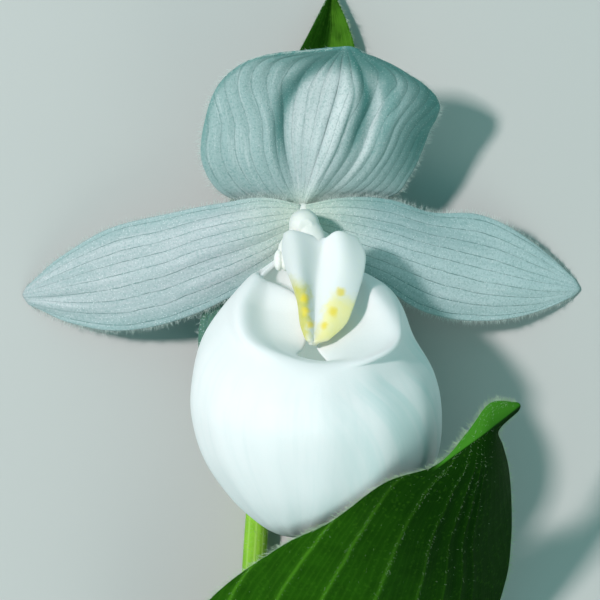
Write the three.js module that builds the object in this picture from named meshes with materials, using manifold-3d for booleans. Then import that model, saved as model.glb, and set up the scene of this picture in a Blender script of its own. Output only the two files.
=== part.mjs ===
// A white lady's-slipper orchid, picked with its bract and one leaf, and lying on its back.
//
// Units are millimetres. +Y runs up the flower, from the cut stem to the dorsal sepal, +X is to the right of
// someone who looks into the flower, and +Z points out of its face, away from the table at Z = 0. The origin
// is on the table, under the place where the petals meet.
//
// Each blade is a skin over rails: curves through hand-placed points that run from its base to its tip, one
// for each margin and one for each fold between them.
import * as THREE from "three";
import { mergeVertices } from "three/addons/utils/BufferGeometryUtils.js";
import Module from "manifold-3d";

const wasm = await Module();
wasm.setup();

// ---- driving dimensions ----------------------------------------------------------------------------------
const TEPAL_THICKNESS = 0.7; // petals and sepals
const LEAF_THICKNESS = 0.7; // leaf and bract
const LIP_WALL = 0.8; // wall of the slipper
const SHIELD_THICKNESS = 1.0; // staminode
const SEAT_GAP = 0.35; // air between two organs that touch
const STEM_BASE_RADIUS = 2.3;
const STEM_TOP_RADIUS = 1.5;
const OVARY_RIBS = { count: 6, height: 0.09 }; // height as a share of the radius
const LEAF_PLEATS = { height: 0.3, slant: 2.4, opensAt: 0.38 }; // they slant into the left margin
const LIP_FURROWS = { count: 13, depth: 0.2 };
const ANTHER = { radii: [1.1, 1.4, 1.3], reach: 3.5, place: [0.6, -6.3, 21.3] };

// ---- curves and skins ------------------------------------------------------------------------------------

// One piece of a smooth curve, from p1 at f = 0 to p2 at f = 1, for numbers in rows.
const smoothly = (p0, p1, p2, p3, f) =>
  p1.map((b, i) => {
    const [a, c, d] = [p0[i], p2[i], p3[i]];
    return b + 0.5 * f * (c - a + f * (2 * a - 5 * b + 4 * c - d + f * (3 * (b - c) + d - a)));
  });

// A smooth curve through rows of numbers, at t from 0 to 1. Its ends carry on straight.
function through(rows, t) {
  const last = rows.length - 1;
  const k = Math.min(Math.floor(t * last), last - 1);
  const mirrored = (end, next) => rows[end].map((x, i) => 2 * x - rows[next][i]);
  const before = k > 0 ? rows[k - 1] : mirrored(0, 1);
  const after = k + 2 <= last ? rows[k + 2] : mirrored(last, last - 1);
  return smoothly(before, rows[k], rows[k + 1], after, t * last - k);
}

// A smooth closed curve through rows of numbers, at any turn: one turn takes it round once.
function round(rows, turn) {
  const n = rows.length;
  const k = Math.floor(turn * n);
  const at = (i) => rows[((i % n) + n) % n];
  return smoothly(at(k - 1), at(k), at(k + 1), at(k + 2), turn * n - k);
}

// The skin over rails: a place for s from 0 at the base to 1 at the tip, and v from -1 to 1 across.
const skin = (rails) => (s, v) => {
  const row = rails.map((rail) => through(rail, s));
  return new THREE.Vector3(...through(row, (v + 1) / 2));
};

// Rails from rows that run across the blade, and the other way round.
const turned = (rows) => rows[0].map((_, j) => rows.map((row) => row[j]));

// A row of a blade: a parabola through its left margin, its middle and its right margin.
function bow(left, middle, right, columns) {
  return Array.from({ length: columns }, (_, j) => {
    const v = (2 * j) / (columns - 1) - 1;
    return middle.map(
      (m, i) => m + ((right[i] - left[i]) / 2) * v + ((left[i] + right[i]) / 2 - m) * v * v,
    );
  });
}

// The unit normal of a surface. It faces up where v runs to the right of s.
function normalOf(surface, s, v) {
  const step = 1e-3;
  const alongBlade = surface(Math.min(1, s + step), v).sub(surface(Math.max(0, s - step), v));
  const acrossBlade = surface(s, Math.min(1, v + step)).sub(surface(s, Math.max(-1, v - step)));
  return acrossBlade.cross(alongBlade).normalize();
}

// The surface raised by relief(s, v) along its normal.
const raised = (surface, relief) => (s, v) =>
  surface(s, v).addScaledVector(normalOf(surface, s, v), relief(s, v));

const { clamp, lerp, smoothstep } = THREE.MathUtils;

// ---- solids ----------------------------------------------------------------------------------------------

function geometryOf(points, faces) {
  const geometry = new THREE.BufferGeometry();
  const numbers = points.flatMap((p) => [p.x, p.y, p.z]);
  geometry.setAttribute("position", new THREE.Float32BufferAttribute(numbers, 3));
  geometry.setIndex(faces.flat());
  return geometry;
}

// Two triangles for the quad a, b, c, d.
const quad = (a, b, c, d) => [
  [a, b, c],
  [a, c, d],
];

// A blade of even thickness: an upper face, a lower face split in the same way, and the four margins.
function blade(surface, { rows, columns, thickness }) {
  const points = [];
  for (const side of [0.5, -0.5])
    for (let i = 0; i <= rows; i++)
      for (let j = 0; j <= columns; j++) {
        const [s, v] = [i / rows, (2 * j) / columns - 1];
        points.push(surface(s, v).addScaledVector(normalOf(surface, s, v), side * thickness));
      }
  const under = points.length / 2;
  const at = (i, j) => i * (columns + 1) + j;
  const faces = [];
  for (let i = 0; i < rows; i++)
    for (let j = 0; j < columns; j++)
      for (const [a, b, c] of quad(at(i, j), at(i, j + 1), at(i + 1, j + 1), at(i + 1, j)))
        faces.push([a, b, c], [a + under, c + under, b + under]);
  const margin = (from, to) => faces.push(...quad(to, from, from + under, to + under));
  for (let i = 0; i < rows; i++) {
    margin(at(i + 1, 0), at(i, 0));
    margin(at(i, columns), at(i + 1, columns));
  }
  for (let j = 0; j < columns; j++) {
    margin(at(0, j), at(0, j + 1));
    margin(at(rows, j + 1), at(rows, j));
  }
  return geometryOf(points, faces);
}

// A solid rod along points [x, y, z, radius]. Its radius is also multiplied by ribs(angle, t).
function rod(path, { sides, rings, ribs = () => 1 }) {
  const step = 1e-3;
  const place = (t) => new THREE.Vector3(...through(path, t).slice(0, 3));
  const points = [];
  for (let i = 0; i <= rings; i++) {
    const t = i / rings;
    const tangent = place(Math.min(1, t + step)).sub(place(Math.max(0, t - step))).normalize();
    const sideways = new THREE.Vector3(0, tangent.z, -tangent.y).normalize();
    const upwards = new THREE.Vector3().crossVectors(tangent, sideways);
    for (let j = 0; j < sides; j++) {
      const angle = (2 * Math.PI * j) / sides;
      const radius = through(path, t)[3] * ribs(angle, t);
      const out = sideways.clone().multiplyScalar(Math.cos(angle));
      out.addScaledVector(upwards, Math.sin(angle));
      points.push(place(t).addScaledVector(out, radius));
    }
  }
  const [start, end] = [points.length, points.length + 1];
  points.push(place(0), place(1));
  const at = (i, j) => i * sides + (j % sides);
  const faces = [];
  for (let j = 0; j < sides; j++) {
    for (let i = 0; i < rings; i++)
      faces.push(...quad(at(i, j), at(i, j + 1), at(i + 1, j + 1), at(i + 1, j)));
    faces.push([start, at(0, j + 1), at(0, j)], [end, at(rings, j), at(rings, j + 1)]);
  }
  return geometryOf(points, faces);
}

// A ball stretched to three radii.
function lump(place, radii, widthSegments, heightSegments) {
  return new THREE.SphereGeometry(1, widthSegments, heightSegments)
    .scale(...radii)
    .translate(...place);
}

// A thin-walled bag. Its surface(t, turn) is closed to a point at t = 0 and has its open edge at t = 1.
function bag(surface, { rows, around, thickness }) {
  const step = 1e-3;
  const outwards = (t, turn) => {
    const up = surface(Math.min(1, t + step), turn).sub(surface(t - step, turn));
    const sideways = surface(t, turn + step).sub(surface(t, turn - step));
    return up.cross(sideways).normalize();
  };
  const bottom = surface(0, 0);
  const downwards = bottom.clone().sub(surface(0.5, 0).add(surface(0.5, 0.5)).multiplyScalar(0.5));
  downwards.normalize();
  const points = [];
  for (const side of [0.5, -0.5]) {
    points.push(bottom.clone().addScaledVector(downwards, side * thickness));
    for (let i = 1; i <= rows; i++)
      for (let j = 0; j < around; j++) {
        const [t, turn] = [i / rows, j / around];
        points.push(surface(t, turn).addScaledVector(outwards(t, turn), side * thickness));
      }
  }
  const inner = points.length / 2;
  const at = (i, j) => 1 + (i - 1) * around + (j % around);
  const faces = [];
  const bothSides = (a, b, c) => faces.push([a, b, c], [a + inner, c + inner, b + inner]);
  for (let j = 0; j < around; j++) {
    bothSides(0, at(1, j), at(1, j + 1));
    for (let i = 1; i < rows; i++)
      for (const [a, b, c] of quad(at(i, j), at(i + 1, j), at(i + 1, j + 1), at(i, j + 1)))
        bothSides(a, b, c);
    faces.push(...quad(at(rows, j + 1), at(rows, j), at(rows, j) + inner, at(rows, j + 1) + inner));
  }
  return geometryOf(points, faces);
}

// ---- joining and cutting ---------------------------------------------------------------------------------

function solidOf(geometry) {
  const plain = new THREE.BufferGeometry();
  plain.setAttribute("position", geometry.getAttribute("position"));
  plain.setIndex(geometry.index);
  const merged = mergeVertices(plain);
  const vertProperties = merged.attributes.position.array;
  const triVerts = new Uint32Array(merged.index.array);
  return new wasm.Manifold(new wasm.Mesh({ numProp: 3, vertProperties, triVerts }));
}

function geometryOfSolid(solid) {
  const { vertProperties, triVerts } = solid.getMesh();
  const geometry = new THREE.BufferGeometry();
  geometry.setAttribute("position", new THREE.BufferAttribute(vertProperties, 3));
  geometry.setIndex(new THREE.BufferAttribute(triVerts, 1));
  return geometry;
}

const joined = (...geometries) =>
  geometryOfSolid(geometries.map(solidOf).reduce((a, b) => a.add(b)));

// What would sink into the table is pressed flat on it.
function laidOnTable(geometry) {
  const [length, depth] = [300, 20];
  const table = new THREE.BoxGeometry(length, length, depth).translate(0, 0, -depth / 2);
  return geometryOfSolid(solidOf(geometry).subtract(solidOf(table)));
}

// ---- stem, ovary and greenery ----------------------------------------------------------------------------

// The stem's own axis, from the cut end to the foot of the ovary.
const STEM_AXIS = [
  [-9.3, -112, 3.1],
  [-8.6, -92, 3.05],
  [-7.8, -70, 2.9],
  [-6.9, -48, 2.8],
  [-5.2, -25, 3.0],
];

function stem() {
  const last = STEM_AXIS.length - 1;
  const path = STEM_AXIS.map((point, k) => [
    ...point,
    lerp(STEM_BASE_RADIUS, STEM_TOP_RADIUS, k / last),
  ]);
  return rod(path, { sides: 12, rings: 12 });
}

function ovary() {
  const path = [
    [-5.1, -24.4, 3.1, 1.5],
    [-4.3, -18.5, 4.4, 1.9],
    [-3.1, -12.5, 6.6, 2.3],
    [-1.7, -6.8, 9.6, 2.4],
    [-0.4, -2.3, 12.3, 1.9],
    [0, -0.3, 14.1, 1.5],
  ];
  const ribs = (angle, t) =>
    1 + OVARY_RIBS.height * Math.sin(Math.PI * t) * Math.cos(OVARY_RIBS.count * angle);
  return rod(path, { sides: 24, rings: 12, ribs });
}

function bract() {
  const left = [
    [-7.7, -24, 2.4],
    [-11.0, -17, 3.6],
    [-12.2, -8, 3.4],
    [-10.6, 2, 3.0],
    [-6.2, 13, 2.8],
    [-0.1, 24.8, 3.0],
    [4.0, 32.6, 2.4],
  ];
  const keel = [
    [-5.2, -24.2, 0.7],
    [-4.3, -17, 0.35],
    [-2.7, -8, 0.15],
    [-0.9, 2, 0.15],
    [1.3, 13, 0.25],
    [3.7, 24.6, 0.8],
    [4.25, 32.8, 2.1],
  ];
  const right = [
    [-2.7, -24, 2.4],
    [1.8, -17, 3.6],
    [5.8, -8, 3.4],
    [8.2, 2, 3.0],
    [8.7, 13, 2.8],
    [7.4, 24.8, 3.0],
    [4.5, 32.6, 2.4],
  ];
  const surface = skin([left, keel, right]);
  return laidOnTable(blade(surface, { rows: 20, columns: 10, thickness: LEAF_THICKNESS }));
}

// The leaf: two rows wrap the stem as a sheath, and the rest open into the pleated blade, whose left margin
// rises in front of the slipper and rolls over near the tip.
function leaf() {
  const columns = 7;
  const degrees = Math.PI / 180;
  const sheathRadius = STEM_BASE_RADIUS + SEAT_GAP + LEAF_THICKNESS / 2;
  const sheath = (t, halfTurn) => {
    const [x, y, z] = through(STEM_AXIS, t);
    return Array.from({ length: columns }, (_, j) => {
      const angle = halfTurn * ((2 * j) / (columns - 1) - 1);
      return [x + sheathRadius * Math.sin(angle), y, z + sheathRadius * Math.cos(angle)];
    });
  };
  const rows = [
    sheath(0.06, 158 * degrees),
    sheath(0.16, 150 * degrees),
    bow([-13.6, -87, 4.2], [-8.0, -87, 8.2], [-2.2, -88, 3.4], columns),
    bow([-20.5, -76.5, 9.5], [-5.0, -78.5, 13.4], [9.5, -80.0, 3.0], columns),
    bow([-20.0, -64.5, 15], [0.0, -68.5, 18.2], [20.0, -71.0, 3.2], columns),
    bow([-13.0, -53.4, 21], [7.0, -57.5, 23.8], [26.0, -60.0, 7], columns),
    bow([-3.1, -45.4, 29.0], [13.5, -49.3, 28.4], [28.6, -51.5, 11.5], columns),
    bow([3.8, -41.6, 33.4], [17.5, -44.3, 31.2], [29.1, -45.5, 15.5], columns),
    bow([11.0, -36.2, 36.3], [21.5, -39.0, 33.0], [28.9, -40.0, 19.5], columns),
    bow([17.9, -33.8, 36.6], [24.0, -34.6, 34.4], [28.2, -35.0, 24.5], columns),
    bow([22.2, -29.4, 34.8], [24.6, -30.7, 35.6], [27.1, -31.6, 29.5], columns),
    bow([25.3, -25.7, 33.2], [25.8, -27.8, 34.6], [26.3, -29.4, 32.6], columns),
    bow([29.0, -25.7, 32.6], [29.3, -26.0, 32.7], [29.2, -26.5, 32.4], columns),
  ];
  const pleats = (s, v) => {
    const slanted = v + LEAF_PLEATS.slant * Math.max(0, s - LEAF_PLEATS.opensAt) - 0.24;
    const near = clamp(slanted, -0.6, 0.8);
    const far = (slanted < near ? 3.5 : 9) * (slanted - near);
    const turns = 0.78 + 2.9 * near + 1.6 * near ** 2 + 2.9 * near ** 3 + far;
    const opening = smoothstep(s, 0.15, 0.4) * (1 - smoothstep(s, 0.62, 0.8));
    const inside = 1 - smoothstep(Math.abs(v), 0.88, 1);
    const uncrowded = 1 - smoothstep(slanted, 0.5, 0.85);
    return -LEAF_PLEATS.height * opening * inside * uncrowded * Math.cos(2 * Math.PI * turns);
  };
  const surface = raised(skin(turned(rows)), pleats);
  return laidOnTable(blade(surface, { rows: 28, columns: 36, thickness: LEAF_THICKNESS }));
}

// ---- sepals and petals -----------------------------------------------------------------------------------

// The dorsal sepal is a hood with three lengthwise folds and two valleys between them.
function dorsalSepal() {
  const leftMargin = [
    [-0.9, 1.5, 13.2],
    [-10.2, 2.5, 12.4],
    [-14.0, 7.1, 15.2],
    [-13.8, 12.9, 17.6],
    [-11.4, 18.5, 20.0],
    [-5.8, 21.9, 23.2],
    [4.4, 22.6, 27.0],
  ];
  const leftField = [
    [-0.75, 1.45, 13.3],
    [-5.8, 3.4, 14.4],
    [-8.6, 7.7, 16.6],
    [-9.0, 13.0, 18.2],
    [-7.6, 18.1, 19.8],
    [-3.2, 21.4, 22.6],
    [4.7, 22.65, 27.1],
  ];
  const leftFold = [
    [-0.6, 1.4, 13.4],
    [-2.8, 4.0, 15.0],
    [-4.4, 8.1, 17.0],
    [-4.7, 13.0, 18.1],
    [-3.7, 17.6, 19.1],
    [0.0, 20.9, 21.8],
    [5.0, 22.7, 27.2],
  ];
  const leftValley = [
    [-0.4, 1.35, 13.45],
    [-1.1, 4.5, 14.7],
    [-2.0, 8.4, 16.0],
    [-2.3, 13.0, 16.4],
    [-0.8, 17.3, 17.3],
    [2.2, 20.6, 20.7],
    [5.3, 22.75, 27.3],
  ];
  const centre = [
    [-0.1, 1.3, 13.5],
    [0.4, 4.7, 15.8],
    [0.9, 8.6, 18.2],
    [1.8, 13.0, 19.4],
    [3.0, 17.0, 20.0],
    [4.4, 20.4, 22.1],
    [5.6, 22.8, 27.5],
  ];
  const midrib = [
    [0.1, 1.3, 13.6],
    [1.9, 4.8, 16.8],
    [3.9, 8.6, 19.7],
    [5.4, 12.8, 21.6],
    [6.5, 16.8, 22.4],
    [6.3, 20.2, 24.0],
    [5.9, 22.8, 27.6],
  ];
  const rightValley = [
    [0.35, 1.3, 13.5],
    [4.2, 4.5, 15.8],
    [7.2, 8.2, 18.2],
    [8.8, 12.5, 19.2],
    [9.6, 16.3, 20.0],
    [8.7, 19.7, 23.0],
    [6.4, 22.8, 27.5],
  ];
  const rightFold = [
    [0.6, 1.4, 13.4],
    [6.8, 4.0, 14.6],
    [10.4, 8.0, 17.4],
    [12.3, 12.5, 19.8],
    [13.1, 16.3, 20.8],
    [11.9, 19.5, 22.8],
    [6.9, 22.7, 27.3],
  ];
  const rightMargin = [
    [0.9, 1.5, 13.2],
    [11.8, 2.6, 11.4],
    [15.0, 5.8, 11.8],
    [17.6, 11.4, 13.0],
    [19.3, 15.5, 14.8],
    [15.9, 18.8, 19.2],
    [7.5, 22.5, 27.0],
  ];
  const rails = [
    leftMargin,
    leftField,
    leftFold,
    leftValley,
    centre,
    midrib,
    rightValley,
    rightFold,
    rightMargin,
  ];
  return blade(skin(rails), { rows: 18, columns: 28, thickness: TEPAL_THICKNESS });
}

// The two lateral sepals, grown together under the slipper.
function synsepal() {
  const left = [
    [-1.5, -4.3, 14.6],
    [-9.5, -8.8, 11.3],
    [-14.4, -14, 9.6],
    [-14.2, -22, 8.2],
    [-9.5, -30.5, 7.8],
    [-1.2, -36.8, 8.6],
  ];
  const middle = [
    [0, -4.2, 15.0],
    [0.2, -9, 13.5],
    [0.3, -16, 11.3],
    [0.2, -23, 9.4],
    [0, -30, 8.4],
    [-0.2, -37, 8.8],
  ];
  const right = [
    [1.5, -4.3, 14.6],
    [9.8, -8.4, 11.3],
    [14.3, -13.5, 9.6],
    [14.0, -22, 8.2],
    [9.3, -30.5, 7.8],
    [0.8, -36.8, 8.6],
  ];
  return blade(skin([right, middle, left]), { rows: 16, columns: 12, thickness: TEPAL_THICKNESS });
}

const petal = (...rails) =>
  laidOnTable(blade(skin(rails), { rows: 20, columns: 12, thickness: TEPAL_THICKNESS }));

function petalOnLeft() {
  const upper = [
    [-0.35, 1.6, 15.7],
    [-5.7, 2.6, 15.6],
    [-12.4, 1.7, 13.3],
    [-19.6, 0.3, 10.4],
    [-27.5, -1.5, 7.2],
    [-34.9, -5.6, 3.7],
    [-40.2, -10.1, 0.3],
  ];
  const middle = [
    [-0.45, -0.6, 15.8],
    [-5.9, -2.4, 16.1],
    [-13.1, -4.3, 14.2],
    [-20.0, -6.7, 11.3],
    [-27.2, -8.5, 8.1],
    [-34.0, -9.9, 4.4],
    [-40.6, -11.1, 0.3],
  ];
  const lower = [
    [-1.4, -3.4, 15.5],
    [-4.6, -7.6, 14.6],
    [-11.0, -11.8, 12.3],
    [-18.6, -14.9, 9.7],
    [-26.1, -16.2, 6.7],
    [-33.5, -15.1, 3.2],
    [-39.8, -12.4, 0.3],
  ];
  return petal(lower, middle, upper);
}

function petalOnRight() {
  const upper = [
    [0.35, 1.6, 15.7],
    [5.9, 2.6, 15.6],
    [12.0, 2.4, 13.3],
    [18.3, 0.7, 10.4],
    [25.6, 0.3, 7.2],
    [32.9, -3.3, 3.7],
    [39.5, -9.0, 0.3],
  ];
  const middle = [
    [0.45, -0.6, 15.8],
    [5.9, -2.0, 16.1],
    [12.5, -3.8, 14.2],
    [18.8, -5.7, 11.3],
    [25.5, -7.4, 8.1],
    [32.9, -9.1, 4.4],
    [40.1, -10.2, 0.3],
  ];
  const lower = [
    [1.6, -3.2, 15.5],
    [4.9, -6.9, 14.6],
    [10.9, -9.7, 12.3],
    [16.9, -13.4, 9.7],
    [23.9, -14.8, 6.7],
    [32.0, -14.0, 3.2],
    [39.2, -11.2, 0.3],
  ];
  return petal(upper, middle, lower);
}

// ---- the slipper -----------------------------------------------------------------------------------------

// The slipper's wall is a stack of egg-shaped rings, tilted about X so that the front of each is lower.
// Above them the mouth has three loops of hand-placed points: its crest, the dish of the two side lobes that
// fold in from it, and their free edge. At the back the lobes end, and the loops stand up as a low collar.
function slipper() {
  const degrees = Math.PI / 180;
  const places = 12; // in a loop, from the right by way of the front to the left and the back
  const ring = (x, y, z, left, right, front, back, tilt) =>
    Array.from({ length: places }, (_, k) => {
      const angle = (2 * Math.PI * k) / places;
      const [c, s] = [Math.cos(angle), Math.sin(angle)];
      const depth = s * (s < 0 ? back : front);
      const width = c * (c < 0 ? left : right);
      return [
        x + width,
        y - depth * Math.sin(tilt * degrees),
        z + depth * Math.cos(tilt * degrees),
      ];
    });
  const tiny = 0.02;
  const wall = [
    ring(-0.2, -44.4, 22.4, tiny, tiny, tiny, tiny, 0),
    ring(0.1, -43.7, 22.6, 3.6, 3.8, 3.8, 3.4, 0),
    ring(0.6, -41.9, 23.0, 7.0, 8.8, 7.4, 6.6, 0),
    ring(1.0, -38.4, 23.5, 11.0, 14.2, 11.0, 9.8, 2),
    ring(1.0, -33.0, 24.0, 14.5, 17.1, 13.9, 12.0, 6),
    ring(1.0, -27.0, 24.5, 16.1, 17.6, 15.8, 12.8, 12),
    ring(1.0, -22.0, 24.8, 15.9, 16.6, 16.3, 12.1, 19),
    ring(1.0, -17.5, 25.0, 14.5, 14.0, 16.3, 11.0, 26),
    ring(1.2, -13.8, 26.0, 11.6, 12.2, 15.2, 12.0, 33),
  ];
  const crest = [
    [12.3, -14.8, 30.5],
    [12.2, -17.9, 34.3],
    [7.9, -20.1, 36.8],
    [1.7, -20.7, 37.6],
    [-3.9, -19.2, 36.2],
    [-7.6, -16.8, 33.2],
    [-8.4, -12.7, 28.7],
    [-6.8, -9.0, 23.6],
    [-5.8, -7.9, 18.6],
    [0.3, -4.8, 16.0],
    [6.1, -7.9, 18.6],
    [9.1, -9.6, 23.6],
  ];
  const dish = [
    [8.0, -14.8, 28.6],
    [7.6, -17.9, 32.4],
    [5.7, -20.0, 35.9],
    [1.5, -20.3, 36.4],
    [-2.3, -19.2, 34.8],
    [-4.4, -17.0, 31.1],
    [-4.9, -13.6, 27.1],
    [-4.6, -9.9, 24.0],
    [-5.9, -8.5, 19.5],
    [0.3, -4.7, 16.4],
    [5.9, -7.7, 19.1],
    [7.3, -10.3, 23.8],
  ];
  const freeEdge = [
    [2.8, -14.8, 28.0],
    [1.8, -18.0, 31.0],
    [3.2, -20.2, 34.4],
    [1.2, -20.0, 35.3],
    [-0.8, -19.3, 34.0],
    [0.2, -18.0, 31.0],
    [1.0, -14.2, 28.2],
    [-1.2, -11.0, 25.6],
    [-5.5, -8.6, 20.2],
    [0.3, -4.6, 16.7],
    [5.7, -7.5, 19.5],
    [5.5, -10.3, 24.8],
  ];
  const rails = turned([...wall, crest, dish, freeEdge]);
  const crestAt = wall.length / (rails[0].length - 1);
  const middle = new THREE.Vector3(1, -27, 24.5);
  const surface = (t, turn) => {
    const loop = rails.map((rail) => through(rail, t));
    const place = new THREE.Vector3(...round(loop, turn));
    const swell = Math.sin(Math.PI * Math.min(1, t / crestAt));
    const furrow = LIP_FURROWS.depth * swell * Math.cos(2 * Math.PI * LIP_FURROWS.count * turn);
    return place.addScaledVector(place.clone().sub(middle).normalize(), furrow);
  };
  return bag(surface, { rows: 24, around: 36, thickness: LIP_WALL });
}

// ---- column, anthers and staminode -----------------------------------------------------------------------

// The column, with a filament to each side and the stigma on a stalk under the staminode.
function column() {
  const trunk = rod(
    [
      [0, -0.9, 16.6, 1.5],
      [0, -1.0, 18.2, 1.65],
      [0.1, -1.1, 19.8, 1.9],
      [0.1, -1.3, 21.4, 2.0],
      [0.1, -1.5, 22.6, 1.6],
      [0.1, -1.6, 23.2, 0.7],
    ],
    { sides: 16, rings: 12 },
  );
  const neck = rod(
    [
      [0.2, -1.5, 20.4, 1.7],
      [0.7, -2.2, 21.6, 1.9],
      [1.4, -3.3, 21.9, 1.3],
    ],
    { sides: 14, rings: 4 },
  );
  const stalk = rod(
    [
      [0.1, -1.3, 19.4, 1.1],
      [0.5, -3.2, 19.4, 1.0],
      [0.7, -5.0, 19.2, 1.0],
    ],
    { sides: 10, rings: 4 },
  );
  const stigma = lump([0.7, -5.6, 19.3], [1.7, 1.4, 1.9], 14, 10);
  const filament = (side) =>
    rod(
      [
        [ANTHER.place[0] + side * 0.3, -2.0, 19.8, 0.55],
        [ANTHER.place[0] + side * 1.7, -3.6, 20.3, 0.5],
        [ANTHER.place[0] + side * (ANTHER.reach - 0.7), -4.7, 20.9, 0.45],
      ],
      { sides: 8, rings: 5 },
    );
  return joined(trunk, neck, stalk, stigma, filament(-1), filament(1));
}

function anther(side) {
  const [x, y, z] = ANTHER.place;
  return lump([x + side * ANTHER.reach, y, z], ANTHER.radii, 12, 8);
}

// The staminode is a shield of two rounded wings with a groove between them.
function staminode() {
  const leftMargin = [
    [-2.8, -2.7, 23.6],
    [-2.9, -4.7, 24.1],
    [-2.6, -7.1, 25.6],
    [-1.7, -9.5, 27.3],
    [-0.9, -11.9, 29.3],
    [-0.4, -14.8, 31.2],
    [0.5, -17.1, 32.8],
  ];
  const leftWing = [
    [-1.3, -2.3, 24.6],
    [-0.9, -4.7, 26.2],
    [-0.6, -7.7, 28.0],
    [-0.1, -10.7, 29.8],
    [0.3, -13.3, 31.4],
    [0.6, -15.7, 32.6],
    [0.9, -17.6, 33.3],
  ];
  const groove = [
    [2.8, -3.3, 23.8],
    [2.4, -5.4, 24.8],
    [2.0, -8.4, 26.6],
    [1.8, -11.4, 28.4],
    [1.6, -14.1, 30.3],
    [1.4, -16.3, 31.9],
    [1.3, -17.9, 33.0],
  ];
  const rightWing = [
    [4.9, -2.4, 24.6],
    [5.2, -4.7, 26.2],
    [5.2, -7.7, 28.0],
    [4.6, -10.7, 29.8],
    [3.9, -13.3, 31.4],
    [3.0, -15.8, 32.6],
    [1.9, -17.7, 33.3],
  ];
  const rightMargin = [
    [7.5, -3.3, 23.6],
    [8.5, -5.5, 24.8],
    [8.3, -8.0, 26.6],
    [7.6, -10.5, 28.5],
    [6.8, -12.9, 30.2],
    [5.7, -15.2, 31.2],
    [3.4, -17.3, 32.8],
  ];
  const rails = [rightMargin, rightWing, groove, leftWing, leftMargin];
  return blade(skin(rails), { rows: 14, columns: 16, thickness: SHIELD_THICKNESS });
}

// ---- the object ------------------------------------------------------------------------------------------

const orchid = new THREE.Group();

const matt = (color, roughness) => new THREE.MeshStandardMaterial({ color, roughness, metalness: 0 });

const TEPAL = matt(0xc4d8d6, 0.6);
const WHITE_LIP = matt(0xf2f8f8, 0.4);
const CREAM = matt(0xf4f3d8, 0.45);
const POLLEN = matt(0xe8dfa6, 0.7);
const LEAF_GREEN = matt(0x2c6418, 0.55);
const STEM_GREEN = matt(0x86b84a, 0.55);

function add(name, geometry, finish) {
  const mesh = new THREE.Mesh(geometry, finish);
  mesh.name = name;
  orchid.add(mesh);
}

add("stem", stem(), STEM_GREEN);
add("leaf", leaf(), LEAF_GREEN);
add("bract", bract(), LEAF_GREEN);
add("ovary", ovary(), STEM_GREEN);
add("dorsal_sepal", dorsalSepal(), TEPAL);
add("synsepal", synsepal(), TEPAL);
add("petal_left", petalOnLeft(), TEPAL);
add("petal_right", petalOnRight(), TEPAL);
add("slipper", slipper(), WHITE_LIP);
add("column", column(), CREAM);
add("anther_left", anther(-1), POLLEN);
add("anther_right", anther(1), POLLEN);
add("staminode", staminode(), CREAM);

export default orchid;
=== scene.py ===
"""The looks of a white lady's-slipper orchid, picked with its bract and one leaf, and lying on its back.

Shapes are worked out in millimetres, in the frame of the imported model: +Y up the flower, +X to its right and
+Z out of its face. They become metres when a mesh is made.
"""

import logging
import math
from dataclasses import dataclass, field
from enum import Enum

import bpy
import numpy as np
from mathutils import Matrix, Vector


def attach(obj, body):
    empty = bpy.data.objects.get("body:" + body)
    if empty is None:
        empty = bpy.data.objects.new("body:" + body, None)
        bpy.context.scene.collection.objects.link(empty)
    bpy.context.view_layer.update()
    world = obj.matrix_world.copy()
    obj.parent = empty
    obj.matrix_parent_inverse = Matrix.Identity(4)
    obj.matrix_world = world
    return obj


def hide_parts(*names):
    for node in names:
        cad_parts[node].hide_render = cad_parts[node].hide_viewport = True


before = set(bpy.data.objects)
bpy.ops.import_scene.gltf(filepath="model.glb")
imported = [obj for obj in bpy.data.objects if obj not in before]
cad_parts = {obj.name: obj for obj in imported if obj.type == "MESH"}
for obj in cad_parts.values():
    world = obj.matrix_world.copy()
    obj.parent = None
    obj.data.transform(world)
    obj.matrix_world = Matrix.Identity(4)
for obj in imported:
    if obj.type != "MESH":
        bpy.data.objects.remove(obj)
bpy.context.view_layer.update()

LOG = logging.getLogger("orchid")
MM = 0.001

Colour = tuple[float, float, float]
Paint = Colour | bpy.types.NodeSocket
Point = tuple[float, float, float]
Row = list[float]
Rail = list[Row]
# Where a soft step starts and ends.
Span = tuple[float, float]
# A soft step and what it brings: where it starts, where it ends, and how strong it is.
Fade = tuple[float, float, float]
# A band along an organ: where its middle lies across it, half its width, and how strong or deep it is.
Band = tuple[float, float, float]
# A straight line in millimetres: the x and y of a point on it, and its slope.
Line = tuple[float, float, float]


# ---- curves and skins ------------------------------------------------------------------------------------


def smoothly(p0: np.ndarray, p1: np.ndarray, p2: np.ndarray, p3: np.ndarray, f: np.ndarray) -> np.ndarray:
    """One piece of a smooth curve.

    Args:
        p0: the point before the piece.
        p1: where it starts, at f = 0.
        p2: where it ends, at f = 1.
        p3: the point after it.
        f: how far along it, for each point.

    Returns:
        The points of the curve.
    """
    return p1 + 0.5 * f * (p2 - p0 + f * (2 * p0 - 5 * p1 + 4 * p2 - p3 + f * (3 * (p1 - p2) + p3 - p0)))


def through(rows: np.ndarray, t: np.ndarray) -> np.ndarray:
    """A smooth open curve through rows, whose ends carry on straight.

    Args:
        rows: the rows, along the first axis.
        t: how far along the curve, from 0 to 1.

    Returns:
        One row for each t.
    """
    last = len(rows) - 1
    padded = np.concatenate([2 * rows[:1] - rows[1:2], rows, 2 * rows[-1:] - rows[-2:-1]])
    k = np.clip(np.floor(t * last).astype(int), 0, last - 1)
    f = (t * last - k).reshape((-1,) + (1,) * (rows.ndim - 1))
    return smoothly(padded[k], padded[k + 1], padded[k + 2], padded[k + 3], f)


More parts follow.
